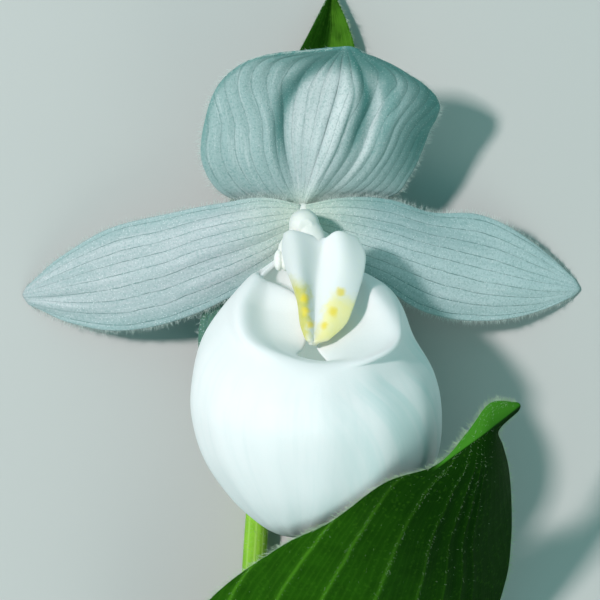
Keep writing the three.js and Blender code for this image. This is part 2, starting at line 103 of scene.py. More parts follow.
def around(rows: np.ndarray, turn: np.ndarray) -> np.ndarray:
    """A smooth closed curve through rows.

    Args:
        rows: the rows, along the first axis.
        turn: how far round, where 1 is once round.

    Returns:
        One row for each turn.
    """
    n = len(rows)
    k = np.floor(turn * n).astype(int)
    f = (turn * n - k).reshape((-1,) + (1,) * (rows.ndim - 1))
    return smoothly(rows[(k - 1) % n], rows[k % n], rows[(k + 1) % n], rows[(k + 2) % n], f)


def skin(rails: list[Rail], s: np.ndarray, v: np.ndarray) -> np.ndarray:
    """The skin over rails that run from the base of a blade to its tip.

    Args:
        rails: the rails, from one margin to the other.
        s: places along the blade, from 0 at the base to 1 at the tip.
        v: places across it, from -1 to 1.

    Returns:
        Points, by s and then v.
    """
    along = through(np.array(rails, float).transpose(1, 0, 2), s)
    return through(along.transpose(1, 0, 2), (v + 1) / 2).transpose(1, 0, 2)


def bow(left: Row, middle: Row, right: Row, columns: int) -> Rail:
    """A row of a blade: a parabola through its left margin, its middle and its right margin.

    Args:
        left: the left margin.
        middle: the middle.
        right: the right margin.
        columns: how many points the row has.

    Returns:
        The points of the row.
    """
    a, m, b = (np.array(p, float) for p in (left, middle, right))
    v = np.linspace(-1, 1, columns)[:, None]
    return (m + (b - a) / 2 * v + ((a + b) / 2 - m) * v * v).tolist()


def turned(rows: list[Rail]) -> list[Rail]:
    """Rails from rows that run across, and the other way round."""
    return np.array(rows, float).transpose(1, 0, 2).tolist()


def smoothstep(x: np.ndarray, low: float, high: float) -> np.ndarray:
    """A soft step.

    Args:
        x: the numbers.
        low: where the step starts, at 0.
        high: where it ends, at 1.

    Returns:
        Numbers from 0 to 1.
    """
    t = np.clip((x - low) / (high - low), 0, 1)
    return t * t * (3 - 2 * t)


def unit(vectors: np.ndarray) -> np.ndarray:
    """Vectors of length 1 with the directions of vectors."""
    return vectors / np.maximum(np.linalg.norm(vectors, axis=-1, keepdims=True), 1e-9)


def normals_of(grid: np.ndarray) -> np.ndarray:
    """The unit normals of a grid of points, up where its second axis runs to the right of its first."""
    return unit(np.cross(np.gradient(grid, axis=1), np.gradient(grid, axis=0)))


def ripples(s: np.ndarray, v: np.ndarray, seed: int, waves: int, pace: float) -> np.ndarray:
    """A soft seeded unevenness.

    Args:
        s: places along.
        v: places across.
        seed: the seed of the draw.
        waves: how many waves are added up.
        pace: the most waves there are over a length of 1.

    Returns:
        Heights of about -1 to 1.
    """
    draw = np.random.default_rng(seed)
    total = np.zeros(np.broadcast(s, v).shape)
    along, across = draw.uniform(-pace, pace, waves), draw.uniform(-pace, pace, waves)
    phases = draw.uniform(0, 1, waves)
    for a, b, phase in zip(along, across, phases):
        total += np.sin(2 * math.pi * (a * s + b * v + phase))
    return total / math.sqrt(waves)


# ---- meshes ----------------------------------------------------------------------------------------------

# A face with more corners than this is a flat end of a tube.
SMOOTH_CORNERS = 4
# How late a wall starts to thin towards its margins, and towards its ends.
MARGIN_POWER = 8
END_POWER = 24


def shown(mesh: bpy.types.Mesh) -> bpy.types.Object:
    """Puts a mesh in the scene, as an object of the same name."""
    obj = bpy.data.objects.new(mesh.name, mesh)
    bpy.context.scene.collection.objects.link(obj)
    return obj


@dataclass
class Shape:
    """A mesh in the making, in millimetres, with a place on its organ for each corner of each face."""

    points: np.ndarray
    faces: list[np.ndarray]
    places: list[np.ndarray]

    def joined(self, other: "Shape") -> "Shape":
        """This shape and another as one."""
        points = np.concatenate([self.points, other.points])
        moved = [f + len(self.points) for f in other.faces]
        return Shape(points, self.faces + moved, self.places + other.places)

    def as_object(self, name: str, unit_size: float = MM) -> bpy.types.Object:
        """Makes the mesh.

        Args:
            name: the name of the object and its mesh.
            unit_size: the size of a millimetre in it.

        Returns:
            The object, in the scene.
        """
        mesh = bpy.data.meshes.new(name)
        faces = [f for block in self.faces for f in block.tolist()]
        mesh.from_pydata((self.points * unit_size).tolist(), [], faces)
        layer = mesh.uv_layers.new(name="place")
        places = np.concatenate([p.reshape(-1) for p in self.places])
        layer.data.foreach_set("uv", places.astype(np.float32))
        smooth = [block.shape[1] <= SMOOTH_CORNERS for block in self.faces for _ in block]
        mesh.polygons.foreach_set("use_smooth", smooth)
        mesh.update()
        return shown(mesh)


def corners_of(rows: int, columns: int) -> np.ndarray:
    """The corners of each cell of a grid, as (column, row), round the cell.

    Args:
        rows: how many rows of cells there are.
        columns: how many cells are in a row.

    Returns:
        Four corners for each cell.
    """
    i, j = (x.reshape(-1) for x in np.meshgrid(np.arange(rows), np.arange(columns), indexing="ij"))
    steps = ((0, 0), (1, 0), (1, 1), (0, 1))
    return np.stack([np.stack([j + across, i + along], -1) for across, along in steps], 1)


def half_of(thickness: float, rim: float, edge: np.ndarray) -> np.ndarray:
    """Half the thickness of a wall that rounds off to its rim.

    Args:
        thickness: its full thickness.
        rim: the thickness of its rim.
        edge: how near the rim each point is, where 1 is on it.

    Returns:
        Half the thickness at each point.
    """
    return 0.5 * (rim + (thickness - rim) * np.sqrt(np.clip(1 - edge, 0, 1)))


def sheet_shape(grid: np.ndarray, half: np.ndarray) -> Shape:
    """A closed blade round a grid of points.

    Args:
        grid: the points of its middle surface, along and then across.
        half: half its thickness at each of them.

    Returns:
        The blade, with its places as (across, along).
    """
    rows, columns = grid.shape[0] - 1, grid.shape[1] - 1
    lift = normals_of(grid) * half[..., None]
    points = np.concatenate([(grid + lift).reshape(-1, 3), (grid - lift).reshape(-1, 3)])
    corner = corners_of(rows, columns)
    upper = corner[..., 1] * (columns + 1) + corner[..., 0]
    under = (rows + 1) * (columns + 1)
    places = corner / np.array([columns, rows], float)
    at = np.arange(under).reshape(rows + 1, columns + 1)
    rim = np.concatenate([at[0, :-1], at[:-1, -1], at[-1, :0:-1], at[:0:-1, 0]])
    after = np.roll(rim, -1)
    sides = np.stack([after, rim, rim + under, after + under], 1)
    spot = np.stack([sides % under % (columns + 1), sides % under // (columns + 1)], -1)
    return Shape(
        points,
        [upper, (upper + under)[:, ::-1], sides],
        [places, places[:, ::-1], spot / np.array([columns, rows], float)],
    )


def tube_shape(rings: np.ndarray) -> Shape:
    """A closed tube.

    Args:
        rings: its points, ring by ring.

    Returns:
        The tube, with its places as (turn, along), and a flat face on each end.
    """
    rows, sides = rings.shape[0] - 1, rings.shape[1]
    corner = corners_of(rows, sides)
    wall = corner[..., 1] * sides + corner[..., 0] % sides
    caps = np.stack([np.arange(sides)[::-1], rows * sides + np.arange(sides)])
    ends = np.repeat(np.array([[[0.5, 0.0]], [[0.5, 1.0]]]), sides, axis=1)
    return Shape(rings.reshape(-1, 3), [wall, caps], [corner / np.array([sides, rows], float), ends])


def tube_rings(path: list[Row], rings: int, sides: int) -> tuple[np.ndarray, np.ndarray]:
    """The rings of a rod.

    Args:
        path: its points, each x, y, z and radius.
        rings: how many rings there are, less one.
        sides: how many points are in a ring.

    Returns:
        The points, ring by ring, and the directions out of the axis at each of them.
    """
    t = np.linspace(0, 1, rings + 1)
    rows = through(np.array(path, float), t)
    tangent = unit(np.gradient(rows[:, :3], axis=0))
    sideways = unit(np.stack([np.zeros(len(t)), tangent[:, 2], -tangent[:, 1]], 1))
    upwards = np.cross(tangent, sideways)
    angle = 2 * math.pi * np.arange(sides) / sides
    out = np.cos(angle)[None, :, None] * sideways[:, None] + np.sin(angle)[None, :, None] * upwards[:, None]
    return rows[:, None, :3] + out * rows[:, None, 3:], out


def on_grid(grid: np.ndarray, a: np.ndarray, b: np.ndarray) -> np.ndarray:
    """Reads a grid between its points.

    Args:
        grid: the grid, of vectors.
        a: places along its first axis, from 0 to 1.
        b: places along its second axis, from 0 to 1.

    Returns:
        A vector for each pair.
    """
    x, y = a * (grid.shape[0] - 1), b * (grid.shape[1] - 1)
    i = np.clip(x.astype(int), 0, grid.shape[0] - 2)
    j = np.clip(y.astype(int), 0, grid.shape[1] - 2)
    fx, fy = (x - i)[:, None], (y - j)[:, None]
    low = grid[i, j] * (1 - fy) + grid[i, j + 1] * fy
    high = grid[i + 1, j] * (1 - fy) + grid[i + 1, j + 1] * fy
    return low * (1 - fx) + high * fx


# The two rings of a hair: how far along it each one lies, how far it sags, and its share of the width.
HAIR_RINGS = ((-0.06, 0.0, 1.0), (0.5, 0.1, 0.7))
# How far a hair's tip sags, for a length of 1.
TIP_SAG = 0.38
# The three corners of a ring, a third of a turn apart, and the points of a whole hair.
THIRDS = (0.0, 2.094, 4.189)
HAIR_POINTS = 7


@dataclass(frozen=True)
class Fuzz:
    """A coat of fine hairs, in millimetres."""

    count: int
    length: float
    width: float = 0.045
    stray: float = 0.5
    seed: int = 1
    lengths: Span = (0.35, 1.25)

    def grow(self, roots: np.ndarray, out: np.ndarray) -> Shape:
        """Grows a bent, tapered hair from each root.

        Args:
            roots: where the hairs grow from.
            out: which way each one points.

        Returns:
            The hairs.
        """
        draw = np.random.default_rng(self.seed)
        n = len(roots)
        way = unit(out + draw.normal(0, self.stray * 0.6, (n, 3)))
        sag = unit(draw.normal(0, 1, (n, 3)) + np.array([0.0, 0.0, 0.4]))
        length = self.length * draw.uniform(*self.lengths, (n, 1))
        side = unit(np.cross(way, sag))
        other = np.cross(way, side)
        rings = []
        for share, bend, width in HAIR_RINGS:
            middle = roots + way * length * share + sag * length * bend
            for angle in THIRDS:
                spoke = side * math.cos(angle) + other * math.sin(angle)
                rings.append(middle + spoke * self.width * 0.5 * width)
        tip = roots + way * length + sag * length * TIP_SAG
        points = np.stack([*rings, tip], 1).reshape(-1, 3)
        points[:, 2] = np.maximum(points[:, 2], 0.0)
        start = (np.arange(n) * HAIR_POINTS)[:, None]
        walls = np.concatenate([start + np.array([k, (k + 1) % 3, 3 + (k + 1) % 3, 3 + k]) for k in range(3)])
        tips = np.concatenate([start + np.array([3 + k, 3 + (k + 1) % 3, 6]) for k in range(3)])
        return Shape(points, [walls, tips], [np.zeros((len(walls), 4, 2)), np.zeros((len(tips), 3, 2))])


# ---- shaders ---------------------------------------------------------------------------------------------


class Field:
    """A number that varies over a surface, with arithmetic that adds the nodes for it."""

    def __init__(self, shader: "Shader", socket: bpy.types.NodeSocket) -> None:
        """Wraps an output of one of the shader's nodes."""
        self.shader = shader
        self.socket = socket

    def math(self, operation: str, *values: "Field | float") -> "Field":
        """Adds a Math node.

        Args:
            operation: the node's operation.
            values: what goes into it.

        Returns:
            Its result.
        """
        return self.shader.field("ShaderNodeMath", {"operation": operation}, dict(enumerate(values)))

    def __add__(self, other: "Field | float") -> "Field":
        """self + other."""
        return self.math("ADD", self, other)

    def __sub__(self, other: "Field | float") -> "Field":
        """self - other."""
        return self.math("SUBTRACT", self, other)

    def __rsub__(self, other: float) -> "Field":
        """other - self."""
        return self.math("SUBTRACT", other, self)

    def __mul__(self, other: "Field | float") -> "Field":
        """self * other."""
        return self.math("MULTIPLY", self, other)

    def __truediv__(self, other: "Field | float") -> "Field":
        """self / other."""
        return self.math("DIVIDE", self, other)

    __radd__ = __add__
    __rmul__ = __mul__

    def size(self) -> "Field":
        """The number without its sign."""
        return self.math("ABSOLUTE", self)

    def part(self) -> "Field":
        """What is left over a whole number."""
        return self.math("FRACT", self)

    def power(self, exponent: float) -> "Field":
        """The number to a power."""
        return self.math("POWER", self, exponent)

    def or_more(self, other: "Field | float") -> "Field":
        """The larger of the two."""
        return self.math("MAXIMUM", self, other)

    def step(self, low: float, high: float) -> "Field":
        """A soft step.

        Args:
            low: where it starts, at 0.
            high: where it ends, at 1.

        Returns:
            A number from 0 to 1.
        """
        settings = {"interpolation_type": "SMOOTHSTEP"}
        return self.shader.field("ShaderNodeMapRange", settings, {0: self, 1: low, 2: high, 3: 0.0, 4: 1.0})

    def fade(self, fade: Fade) -> "Field":
        """A soft step, as strong as the fade says."""
        return self.step(*fade[:2]) * fade[2]

    def band(self, middle: float, half: float) -> "Field":
        """A soft band, 1 in its middle and 0 from half its width on."""
        return 1.0 - (self - middle).size().step(0.0, half)

    def lines(self, count: float, half: float) -> "Field":
        """Soft lines at even distances.

        Args:
            count: how many there are over a length of 1.
            half: half a line's width, as a share of their distance.

        Returns:
            1 in the middle of each line, and 0 between them.
        """
        return (self * count).part().band(0.5, half)


class Shader:
    """A material in the making."""

    def __init__(self, name: str) -> None:
        """Starts an empty material."""
        self.material = bpy.data.materials.new(name)
        self.material.use_nodes = True
        self.material.node_tree.nodes.clear()

    def node(self, kind: str, settings: dict, inputs: dict) -> bpy.types.Node:
        """Adds a node.

        Args:
            kind: its type.
            settings: its own settings, which are set first.
            inputs: the value or link of each socket, by name or number.

        Returns:
            The node.
        """
        made = self.material.node_tree.nodes.new(kind)
        for key, value in settings.items():
            setattr(made, key, value)
        for key, value in inputs.items():
            socket = made.inputs[key]
            if isinstance(value, Field):
                value = value.socket
            if isinstance(value, bpy.types.NodeSocket):
                self.material.node_tree.links.new(value, socket)
            elif isinstance(value, tuple) and len(value) == 3 and socket.type == "RGBA":
                socket.default_value = (*value, 1.0)
            else:
                socket.default_value = value
        return made

    def field(self, kind: str, settings: dict, inputs: dict) -> Field:
        """Adds a node for its first output.

        Args:
            kind: its type.
            settings: its own settings.
            inputs: the value or link of each socket.

        Returns:
            That output, as a number.
        """
        return Field(self, self.node(kind, settings, inputs).outputs[0])

    def place(self) -> tuple[Field, Field]:
        """The place on the organ: across or round it, and along it, each from 0 to 1."""
        place = self.node("ShaderNodeUVMap", {"uv_map": "place"}, {}).outputs[0]
        parts = self.node("ShaderNodeSeparateXYZ", {}, {0: place})
        return Field(self, parts.outputs[0]), Field(self, parts.outputs[1])

    def spot(self) -> tuple[Field, Field, Field]:
        """The point of the frame, in millimetres."""
        parts = self.node("ShaderNodeSeparateXYZ", {}, {0: self.here()})
        return tuple(Field(self, parts.outputs[k]) * (1 / MM) for k in range(3))

    def here(self) -> bpy.types.NodeSocket:
        """The point of the frame, in metres, as a vector."""
        return self.node("ShaderNodeTexCoord", {}, {}).outputs["Object"]

    def noise(self, grain: float, detail: float = 2.0) -> Field:
        """A soft noise of about 0 to 1.

        Args:
            grain: the size of its patches, in millimetres.
            detail: how many finer layers it has.

        Returns:
            The noise.
        """
        inputs = {"Vector": self.here(), "Scale": 1 / (grain * MM), "Detail": detail}
        return self.field("ShaderNodeTexNoise", {}, inputs)

    def cells(self, grain: float) -> tuple[Field, Field]:
        """Small cells.

        Args:
            grain: their size, in millimetres.

        Returns:
            The distance to the middle of the cell, and a number that is the cell's own.
        """
        made = self.node("ShaderNodeTexVoronoi", {}, {"Vector": self.here(), "Scale": 1 / (grain * MM)})
        own = self.node("ShaderNodeSeparateXYZ", {}, {0: made.outputs["Color"]})
        return Field(self, made.outputs["Distance"]), Field(self, own.outputs[0])

    def streaks(self, across: Field, along: Field, pace: float, run: float) -> Field:
        """A soft noise drawn out along the organ.

        Args:
            across: the place across it.
            along: the place along it.
            pace: how many streaks there are across it.
            run: how many follow each other along it.

        Returns:
            The noise, of about 0 to 1.
        """
        place = self.node("ShaderNodeCombineXYZ", {}, {0: across * pace, 1: along * run}).outputs[0]
        return self.field("ShaderNodeTexNoise", {}, {"Vector": place, "Scale": 1.0, "Detail": 3.0})

    def mix(self, factor: Field | float, a: Paint, b: Paint) -> bpy.types.NodeSocket:
        """Mixes two colours.

        Args:
            factor: how much of the second there is.
            a: the first.
            b: the second.

        Returns:
            The mixed colour.
        """
        return self.node("ShaderNodeMix", {"data_type": "RGBA"}, {0: factor, 6: a, 7: b}).outputs[2]

    def bump(self, height: Field, depth: float, strength: float = 1.0) -> bpy.types.NodeSocket:
        """Low relief.

        Args:
            height: its height, from 0 to 1.
            depth: how high 1 is, in millimetres.
            strength: how much of it shows.

        Returns:
            The normal.
        """
        inputs = {"Strength": strength, "Distance": depth * MM, "Height": height}
        return self.node("ShaderNodeBump", {}, inputs).outputs[0]

    def close(self, obj: bpy.types.Object, inputs: dict) -> None:
        """Ends the material and puts it on a piece.

        Args:
            obj: the piece.
            inputs: the sockets of the Principled shader.
        """
        surface = self.node("ShaderNodeBsdfPrincipled", {}, inputs)
        self.node("ShaderNodeOutputMaterial", {}, {0: surface.outputs[0]})
        obj.data.materials.clear()
        obj.data.materials.append(self.material)


# ---- finishes --------------------------------------------------------------------------------------------


@dataclass(frozen=True)
class TepalFinish:
    """The velvet of petals and sepals: fine veins that run to the tip, and cells with painted glints like
    frost.

    Places across and along the organ run from 0 to 1. A valley is a band of painted shade along it, and a
    painted highlight band one of painted light. The tip fades to the colour of painted shade, and
    painted_light_fade is a fade to the streak and highlight colour, which is painted light.
    """

    colour: Colour = (0.50, 0.545, 0.565)
    edge_colour: Colour = (0.33, 0.46, 0.465)
    # The pale colour of the random streaks, and of the painted highlights and painted light.
    streak_and_highlight_colour: Colour = (0.70, 0.745, 0.77)
    vein_colour: Colour = (0.10, 0.19, 0.19)
    base_colour: Colour = (0.56, 0.64, 0.54)
    base_reach: float = 0.34
    shade_colour: Colour = (0.09, 0.27, 0.26)
    # Painted glints: the colour of the bright specks painted into some cells.
    painted_glint_colour: Colour = (0.93, 0.97, 0.98)
    cell_size: float = 0.22
    bands: float = 7.0
    streaks_a_vein: float = 4.0
    edge: Span = (0.28, 0.5)
    veins: float = 9.0
    vein_share: float = 0.06
    vein_depth: float = 0.9
    waver: float = 0.05
    run_out: float = 0.0
    streak: float = 0.3
    # How strong the painted glints are.
    painted_glint: float = 0.6
    # Painted shade at the tip: where it starts, where it ends, and how strong it is.
    tip: Fade = (0.9, 1.0, 0.0)
    # Painted light: a fade along the organ to the pale colour.
    painted_light_fade: Fade = (0.5, 0.9, 0.0)
    # Painted shade: bands along the organ.
    valleys: tuple[Band, ...] = ()
    # Painted highlights: bands along the organ, lit with the pale colour.
    painted_highlight_bands: tuple[Band, ...] = ()

    def dress(self, obj: bpy.types.Object) -> None:
        """Gives the piece this finish."""
        shader = Shader(obj.name)
        across, along = shader.place()
        fanned = (across - 0.5) / (1.0 + along.step(0.45, 1.0) * self.run_out) + 0.5
        waver = (shader.noise(6.0) - 0.5) * self.waver + (shader.noise(0.8) - 0.5) * 0.006
        vein = (fanned + waver).lines(self.veins, self.vein_share)
        broken = 0.4 + shader.noise(1.2, 2.0).step(0.35, 0.6) * 0.6
        streaks = shader.streaks(fanned, along, self.veins * self.streaks_a_vein, 4.0)
        bands = shader.streaks(fanned, along, self.bands, 1.6)
        distance, own = shader.cells(self.cell_size)
        painted_glint = own.step(0.6, 0.95) * (1.0 - distance.step(0.1, 0.55))
        grain = shader.noise(0.3, 2.0)
        cloud = shader.noise(5.0, 3.0)
        margin = (across - 0.5).size().step(*self.edge)
        colour = shader.mix(bands.step(0.42, 0.68) * self.streak, self.colour, self.streak_and_highlight_colour)
        colour = shader.mix((1.0 - bands.step(0.32, 0.55)) * self.streak, colour, self.edge_colour)
        colour = shader.mix(margin * 0.85, colour, self.edge_colour)
        # Painted light along the organ.
        if self.painted_light_fade[2]:
            colour = shader.mix(along.fade(self.painted_light_fade), colour, self.streak_and_highlight_colour)
        colour = shader.mix(streaks.step(0.48, 0.75) * self.streak, colour, self.streak_and_highlight_colour)
        colour = shader.mix((1.0 - streaks.step(0.3, 0.5)) * self.streak * 0.8, colour, self.edge_colour)
        # Painted shade along each valley.
        for middle, half, amount in self.valleys:
            shade = across.band(middle, half) * along.step(0.2, 0.5)
            colour = shader.mix(shade * amount, colour, self.shade_colour)
        # Painted highlights: each band is lit with the pale colour.
        for middle, half, amount in self.painted_highlight_bands:
            light = across.band(middle, half) * (1.0 - along.step(0.55, 0.9))
            colour = shader.mix(light * amount, colour, self.streak_and_highlight_colour)
        # Painted shade at the tip.
        if self.tip[2]:
            colour = shader.mix(along.fade(self.tip), colour, self.shade_colour)
        colour = shader.mix((1.0 - along.step(0.0, self.base_reach)) * 0.85, colour, self.base_colour)
        colour = shader.mix(cloud.step(0.35, 0.75) * 0.2, colour, self.edge_colour)
        colour = shader.mix(vein * broken * self.vein_depth, colour, self.vein_colour)
        colour = shader.mix((1.0 - grain.step(0.3, 0.55)) * 0.3, colour, self.shade_colour)
        # Painted glints: bright specks painted into some cells, standing in for their sparkle.
        colour = shader.mix(painted_glint * self.painted_glint, colour, self.painted_glint_colour)
        relief = painted_glint * 0.6 + (1.0 - distance) * 0.5 - vein * 0.5 + streaks * 0.4
        shader.close(
            obj,
            {
                "Base Color": colour,
                "Roughness": 0.62 - painted_glint * 0.25,
                "Normal": shader.bump(relief, 0.08, 0.7),
                "Subsurface Weight": 0.25,
                "Subsurface Radius": (0.8, 1.0, 0.95),
                "Subsurface Scale": 0.0012,
                "Sheen Weight": 0.15,
                "Specular IOR Level": 0.3,
            },
        )


@dataclass(frozen=True)
class LipFinish:
    """The waxy white of the slipper, with faint veins and, at its right, soft slanting bands of painted shade.

    Its inside, at turns over 1, has a faint painted glow: an emission that stands in for light through its
    wall.
    """

    colour: Colour = (0.90, 0.905, 0.92)
    shade_colour: Colour = (0.70, 0.78, 0.79)
    # Painted shade: the teal of the slanting bands on the right.
    painted_shade_band_colour: Colour = (0.60, 0.76, 0.76)
    bands: float = 26.0
    band_slant: float = 0.22
    band_strength: float = 0.6
    # Painted light: the faint glow of the inside, standing in for light through the wall.
    painted_glow_colour: Colour = (0.76, 1.0, 0.86)
    painted_glow: float = 0.12
    veins: float = 26.0
    streaks: float = 80.0
    cell_size: float = 0.3

    def dress(self, obj: bpy.types.Object) -> None:
        """Gives the piece this finish."""
        shader = Shader(obj.name)
        turn, along = shader.place()
        waver = (shader.noise(9.0) - 0.5) * 0.03
        vein = (turn + waver).lines(self.veins, 0.3) * (1.0 - along.step(0.62, 0.72))
        streaks = shader.streaks(turn, along, self.streaks, 3.0)
        cloud = shader.noise(8.0, 2.0).step(0.35, 0.8)
        colour = shader.mix(cloud * 0.14, self.colour, self.shade_colour)
        colour = shader.mix(vein * streaks.step(0.4, 0.7) * 0.2, colour, self.shade_colour)
        wall = 1.0 - along.step(0.6, 0.72)
        colour = shader.mix((1.0 - streaks.step(0.25, 0.5)) * 0.2 * wall, colour, self.shade_colour)
        # Painted shade: soft slanting teal bands on the right side of the bag, where it turns from the lamp.
        bands = shader.streaks(turn - along * self.band_slant, along, self.bands, 0.6)
        right = (1.0 - turn.step(0.12, 0.27)) * wall
        share = (1.0 - bands.step(0.36, 0.6)) * self.band_strength * right
        colour = shader.mix(share, colour, self.painted_shade_band_colour)
        # Painted light: the inside glows faintly, an emission that stands in for light through the thin wall.
        inside = turn.step(1.4, 1.6) * (1.0 - along.step(0.6, 0.8))
        distance, own = shader.cells(self.cell_size)
        relief = distance * 0.4 - vein * 0.6 + streaks * 0.6
        shader.close(
            obj,
            {
                "Base Color": colour,
                "Roughness": 0.52 + own * 0.06,
                "Normal": shader.bump(relief, 0.03, 0.5),
                "Subsurface Weight": 0.4,
                "Subsurface Radius": (0.9, 1.0, 1.0),
                "Subsurface Scale": 0.0012,
                "Specular IOR Level": 0.22,
                "Emission Color": shader.mix(inside, (0.0, 0.0, 0.0), self.painted_glow_colour),
                "Emission Strength": self.painted_glow,
            },
        )


@dataclass(frozen=True)
class ShieldFinish:
    """The smooth white of the staminode, with yellow lower margins and deeper spots.

    Places are in millimetres: each spot has the x and y of its middle and its radius.
    """

    # The left wing's white and yellow are darker and greyer than the right's: painted shade.
    shaded_left_white: Colour = (0.74, 0.765, 0.76)
    right_colour: Colour = (0.91, 0.91, 0.90)
    shaded_left_yellow: Colour = (0.62, 0.58, 0.11)
    right_yellow: Colour = (1.0, 0.87, 0.38)
    spot_colour: Colour = (0.93, 0.71, 0.05)
    left_edge: float = 0.95
    right_edge: Line = (4.2, -9.9, 0.36)
    starts: float = -9.9
    fades: Span = (-18.2, -16.6)
    cell_size: float = 0.18
    spots: tuple[Point, ...] = (
        (0.1, -11.5, 0.7),
        (0.3, -13.4, 0.6),
        (1.0, -15.1, 0.65),
        (5.1, -10.7, 0.7),
        (4.0, -13.4, 0.75),
        (2.9, -15.3, 0.55),
    )

    def dress(self, obj: bpy.types.Object) -> None:
        """Gives the piece this finish."""
        shader = Shader(obj.name)
        x, y, _ = shader.spot()
        waver = (shader.noise(1.0, 3.0) - 0.5) * 1.8
        x0, y0, slope = self.right_edge
        left = 1.0 - (x + waver).step(self.left_edge - 0.8, self.left_edge + 0.6)
        right = (x + waver - (y - y0) * slope).step(x0 - 0.8, x0 + 0.7)
        below = 1.0 - (y + x * 0.3 + waver).step(self.starts - 1.3, self.starts + 1.6)
        stain = left.or_more(right) * below * (0.45 + y.step(*self.fades) * 0.55)
        dots = None
        for a, b, radius in self.spots:
            far = ((x - a).power(2.0) + (y - b).power(2.0)).power(0.5) + waver * 0.45
            dot = 1.0 - far.step(radius * 0.2, radius * 1.35)
            dots = dot if dots is None else dots.or_more(dot)
        side = x.step(0.8, 3.2)
        # Painted shade: the left wing is darker and greyer than the right.
        white = shader.mix(side, self.shaded_left_white, self.right_colour)
        yellow = shader.mix(side, self.shaded_left_yellow, self.right_yellow)
        colour = shader.mix(stain * (0.7 + shader.noise(1.2, 2.0) * 0.4), white, yellow)
        colour = shader.mix(dots * 0.8, colour, self.spot_colour)
        distance, _own = shader.cells(self.cell_size)
        shader.close(
            obj,
            {
                "Base Color": colour,
                "Roughness": 0.4,
                "Normal": shader.bump(distance, 0.02, 0.4),
                "Subsurface Weight": 0.35,
                "Subsurface Radius": (1.0, 1.0, 0.8),
                "Subsurface Scale": 0.0012,
                "Specular IOR Level": 0.35,
            },
        )


@dataclass(frozen=True)
class PlainFinish:
    """A soft even finish with a fine grain: column, anthers and hairs."""

    colour: Colour
    second: Colour
    roughness: float = 0.5
    grain: float = 0.6
    depth: float = 0.04

    def dress(self, obj: bpy.types.Object) -> None:
        """Gives the piece this finish."""
        shader = Shader(obj.name)
        cloud = shader.noise(self.grain, 3.0)
        colour = shader.mix(cloud.step(0.35, 0.7), self.colour, self.second)
        shader.close(
            obj,
            {
                "Base Color": colour,
                "Roughness": self.roughness,
                "Normal": shader.bump(cloud, self.depth, 0.7),
                "Subsurface Weight": 0.3,
                "Subsurface Radius": (1.0, 1.0, 0.8),
                "Subsurface Scale": 0.001,
                "Specular IOR Level": 0.35,
            },
        )


@dataclass(frozen=True)
class GreenFinish:
    """Leaf, bract, stem and ovary: lengthwise ribs on a mottled green.

    The ribs fade past last_rib, a place across the organ. Painted shade darkens the left half by
    painted_shade_left_half, and over painted_shade_from, in millimetres, darkens the organ to the right and
    up. Above roll_line it shows the underside of a margin that rolls over, in a lighter green that is partly
    the underside's own paler green and partly painted light.
    """

    colour: Colour
    rib_colour: Colour
    # The darker colour of the mottle, and of the painted shade.
    mottle_and_shade_colour: Colour
    ribs: float
    rib_share: float = 0.12
    rib_strength: float = 0.7
    threads_a_rib: float = 6.0
    thread_strength: float = 0.09
    # The underside's paler green, lifted with painted light where it catches the lamp.
    lit_underside_colour: Colour = (0.0, 0.0, 0.0)
    roll_line: Line | None = None
    # Painted shade on the left half: how strong it is.
    painted_shade_left_half: float = 0.0
    # Painted shade to the right and up: where it starts and ends.
    painted_shade_from: Span | None = None
    painted_shade_below: float = 45.0
    painted_shade_slant: float = 0.6
    mottle: float = 0.7
    last_rib: float = 9.0
    cell_size: float = 0.3
    roughness: float = 0.55

    def dress(self, obj: bpy.types.Object) -> None:
        """Gives the piece this finish."""
        shader = Shader(obj.name)
        across, _along = shader.place()
        waver = (shader.noise(4.0) - 0.5) * 0.008
        fading = across.step(self.last_rib - 0.1, self.last_rib + 0.1) * 0.75
        rib = (across + waver).lines(self.ribs, self.rib_share) * (1.0 - fading)
        thread = ((across + waver) * self.ribs).lines(self.threads_a_rib, 0.3)
        mottle = shader.noise(2.5, 4.0)
        distance, own = shader.cells(self.cell_size)
        colour = shader.mix(mottle.step(0.3, 0.75) * self.mottle, self.colour, self.mottle_and_shade_colour)
        colour = shader.mix(thread * self.thread_strength, colour, self.rib_colour)
        colour = shader.mix(rib * self.rib_strength, colour, self.rib_colour)
        # Painted shade to the right and up.
        if self.painted_shade_from:
            x, y, _ = shader.spot()
            painted_shade = (x + (y + self.painted_shade_below) * self.painted_shade_slant).step(*self.painted_shade_from)
            colour = shader.mix(painted_shade * 0.8, colour, self.mottle_and_shade_colour)
        # Painted shade on the left half.
        if self.painted_shade_left_half:
            left = 1.0 - across.step(0.46, 0.56)
            colour = shader.mix(left * self.painted_shade_left_half, colour, self.mottle_and_shade_colour)
        # The rolled margin: partly its underside's own paler green, partly painted light.
        if self.roll_line:
            x0, y0, slope = self.roll_line
            x, y, _ = shader.spot()
            rolled = (y - y0 - (x - x0) * slope).step(-0.1, 0.25) * x.step(x0 - 1.5, x0 + 1.0)
            colour = shader.mix(rolled * (0.75 + mottle * 0.25), colour, self.lit_underside_colour)
        colour = shader.mix(own.step(0.85, 1.0) * 0.12, colour, self.rib_colour)
        relief = rib * 0.7 + thread * 0.25 + mottle * 0.4 + distance * 0.3
        shader.close(
            obj,
            {
                "Base Color": colour,
                "Roughness": self.roughness + mottle * 0.12,
                "Normal": shader.bump(relief, 0.09, 0.7),
                "Subsurface Weight": 0.12,
                "Subsurface Radius": (0.5, 1.0, 0.3),
                "Subsurface Scale": 0.0008,
                "Specular IOR Level": 0.02,
            },
        )


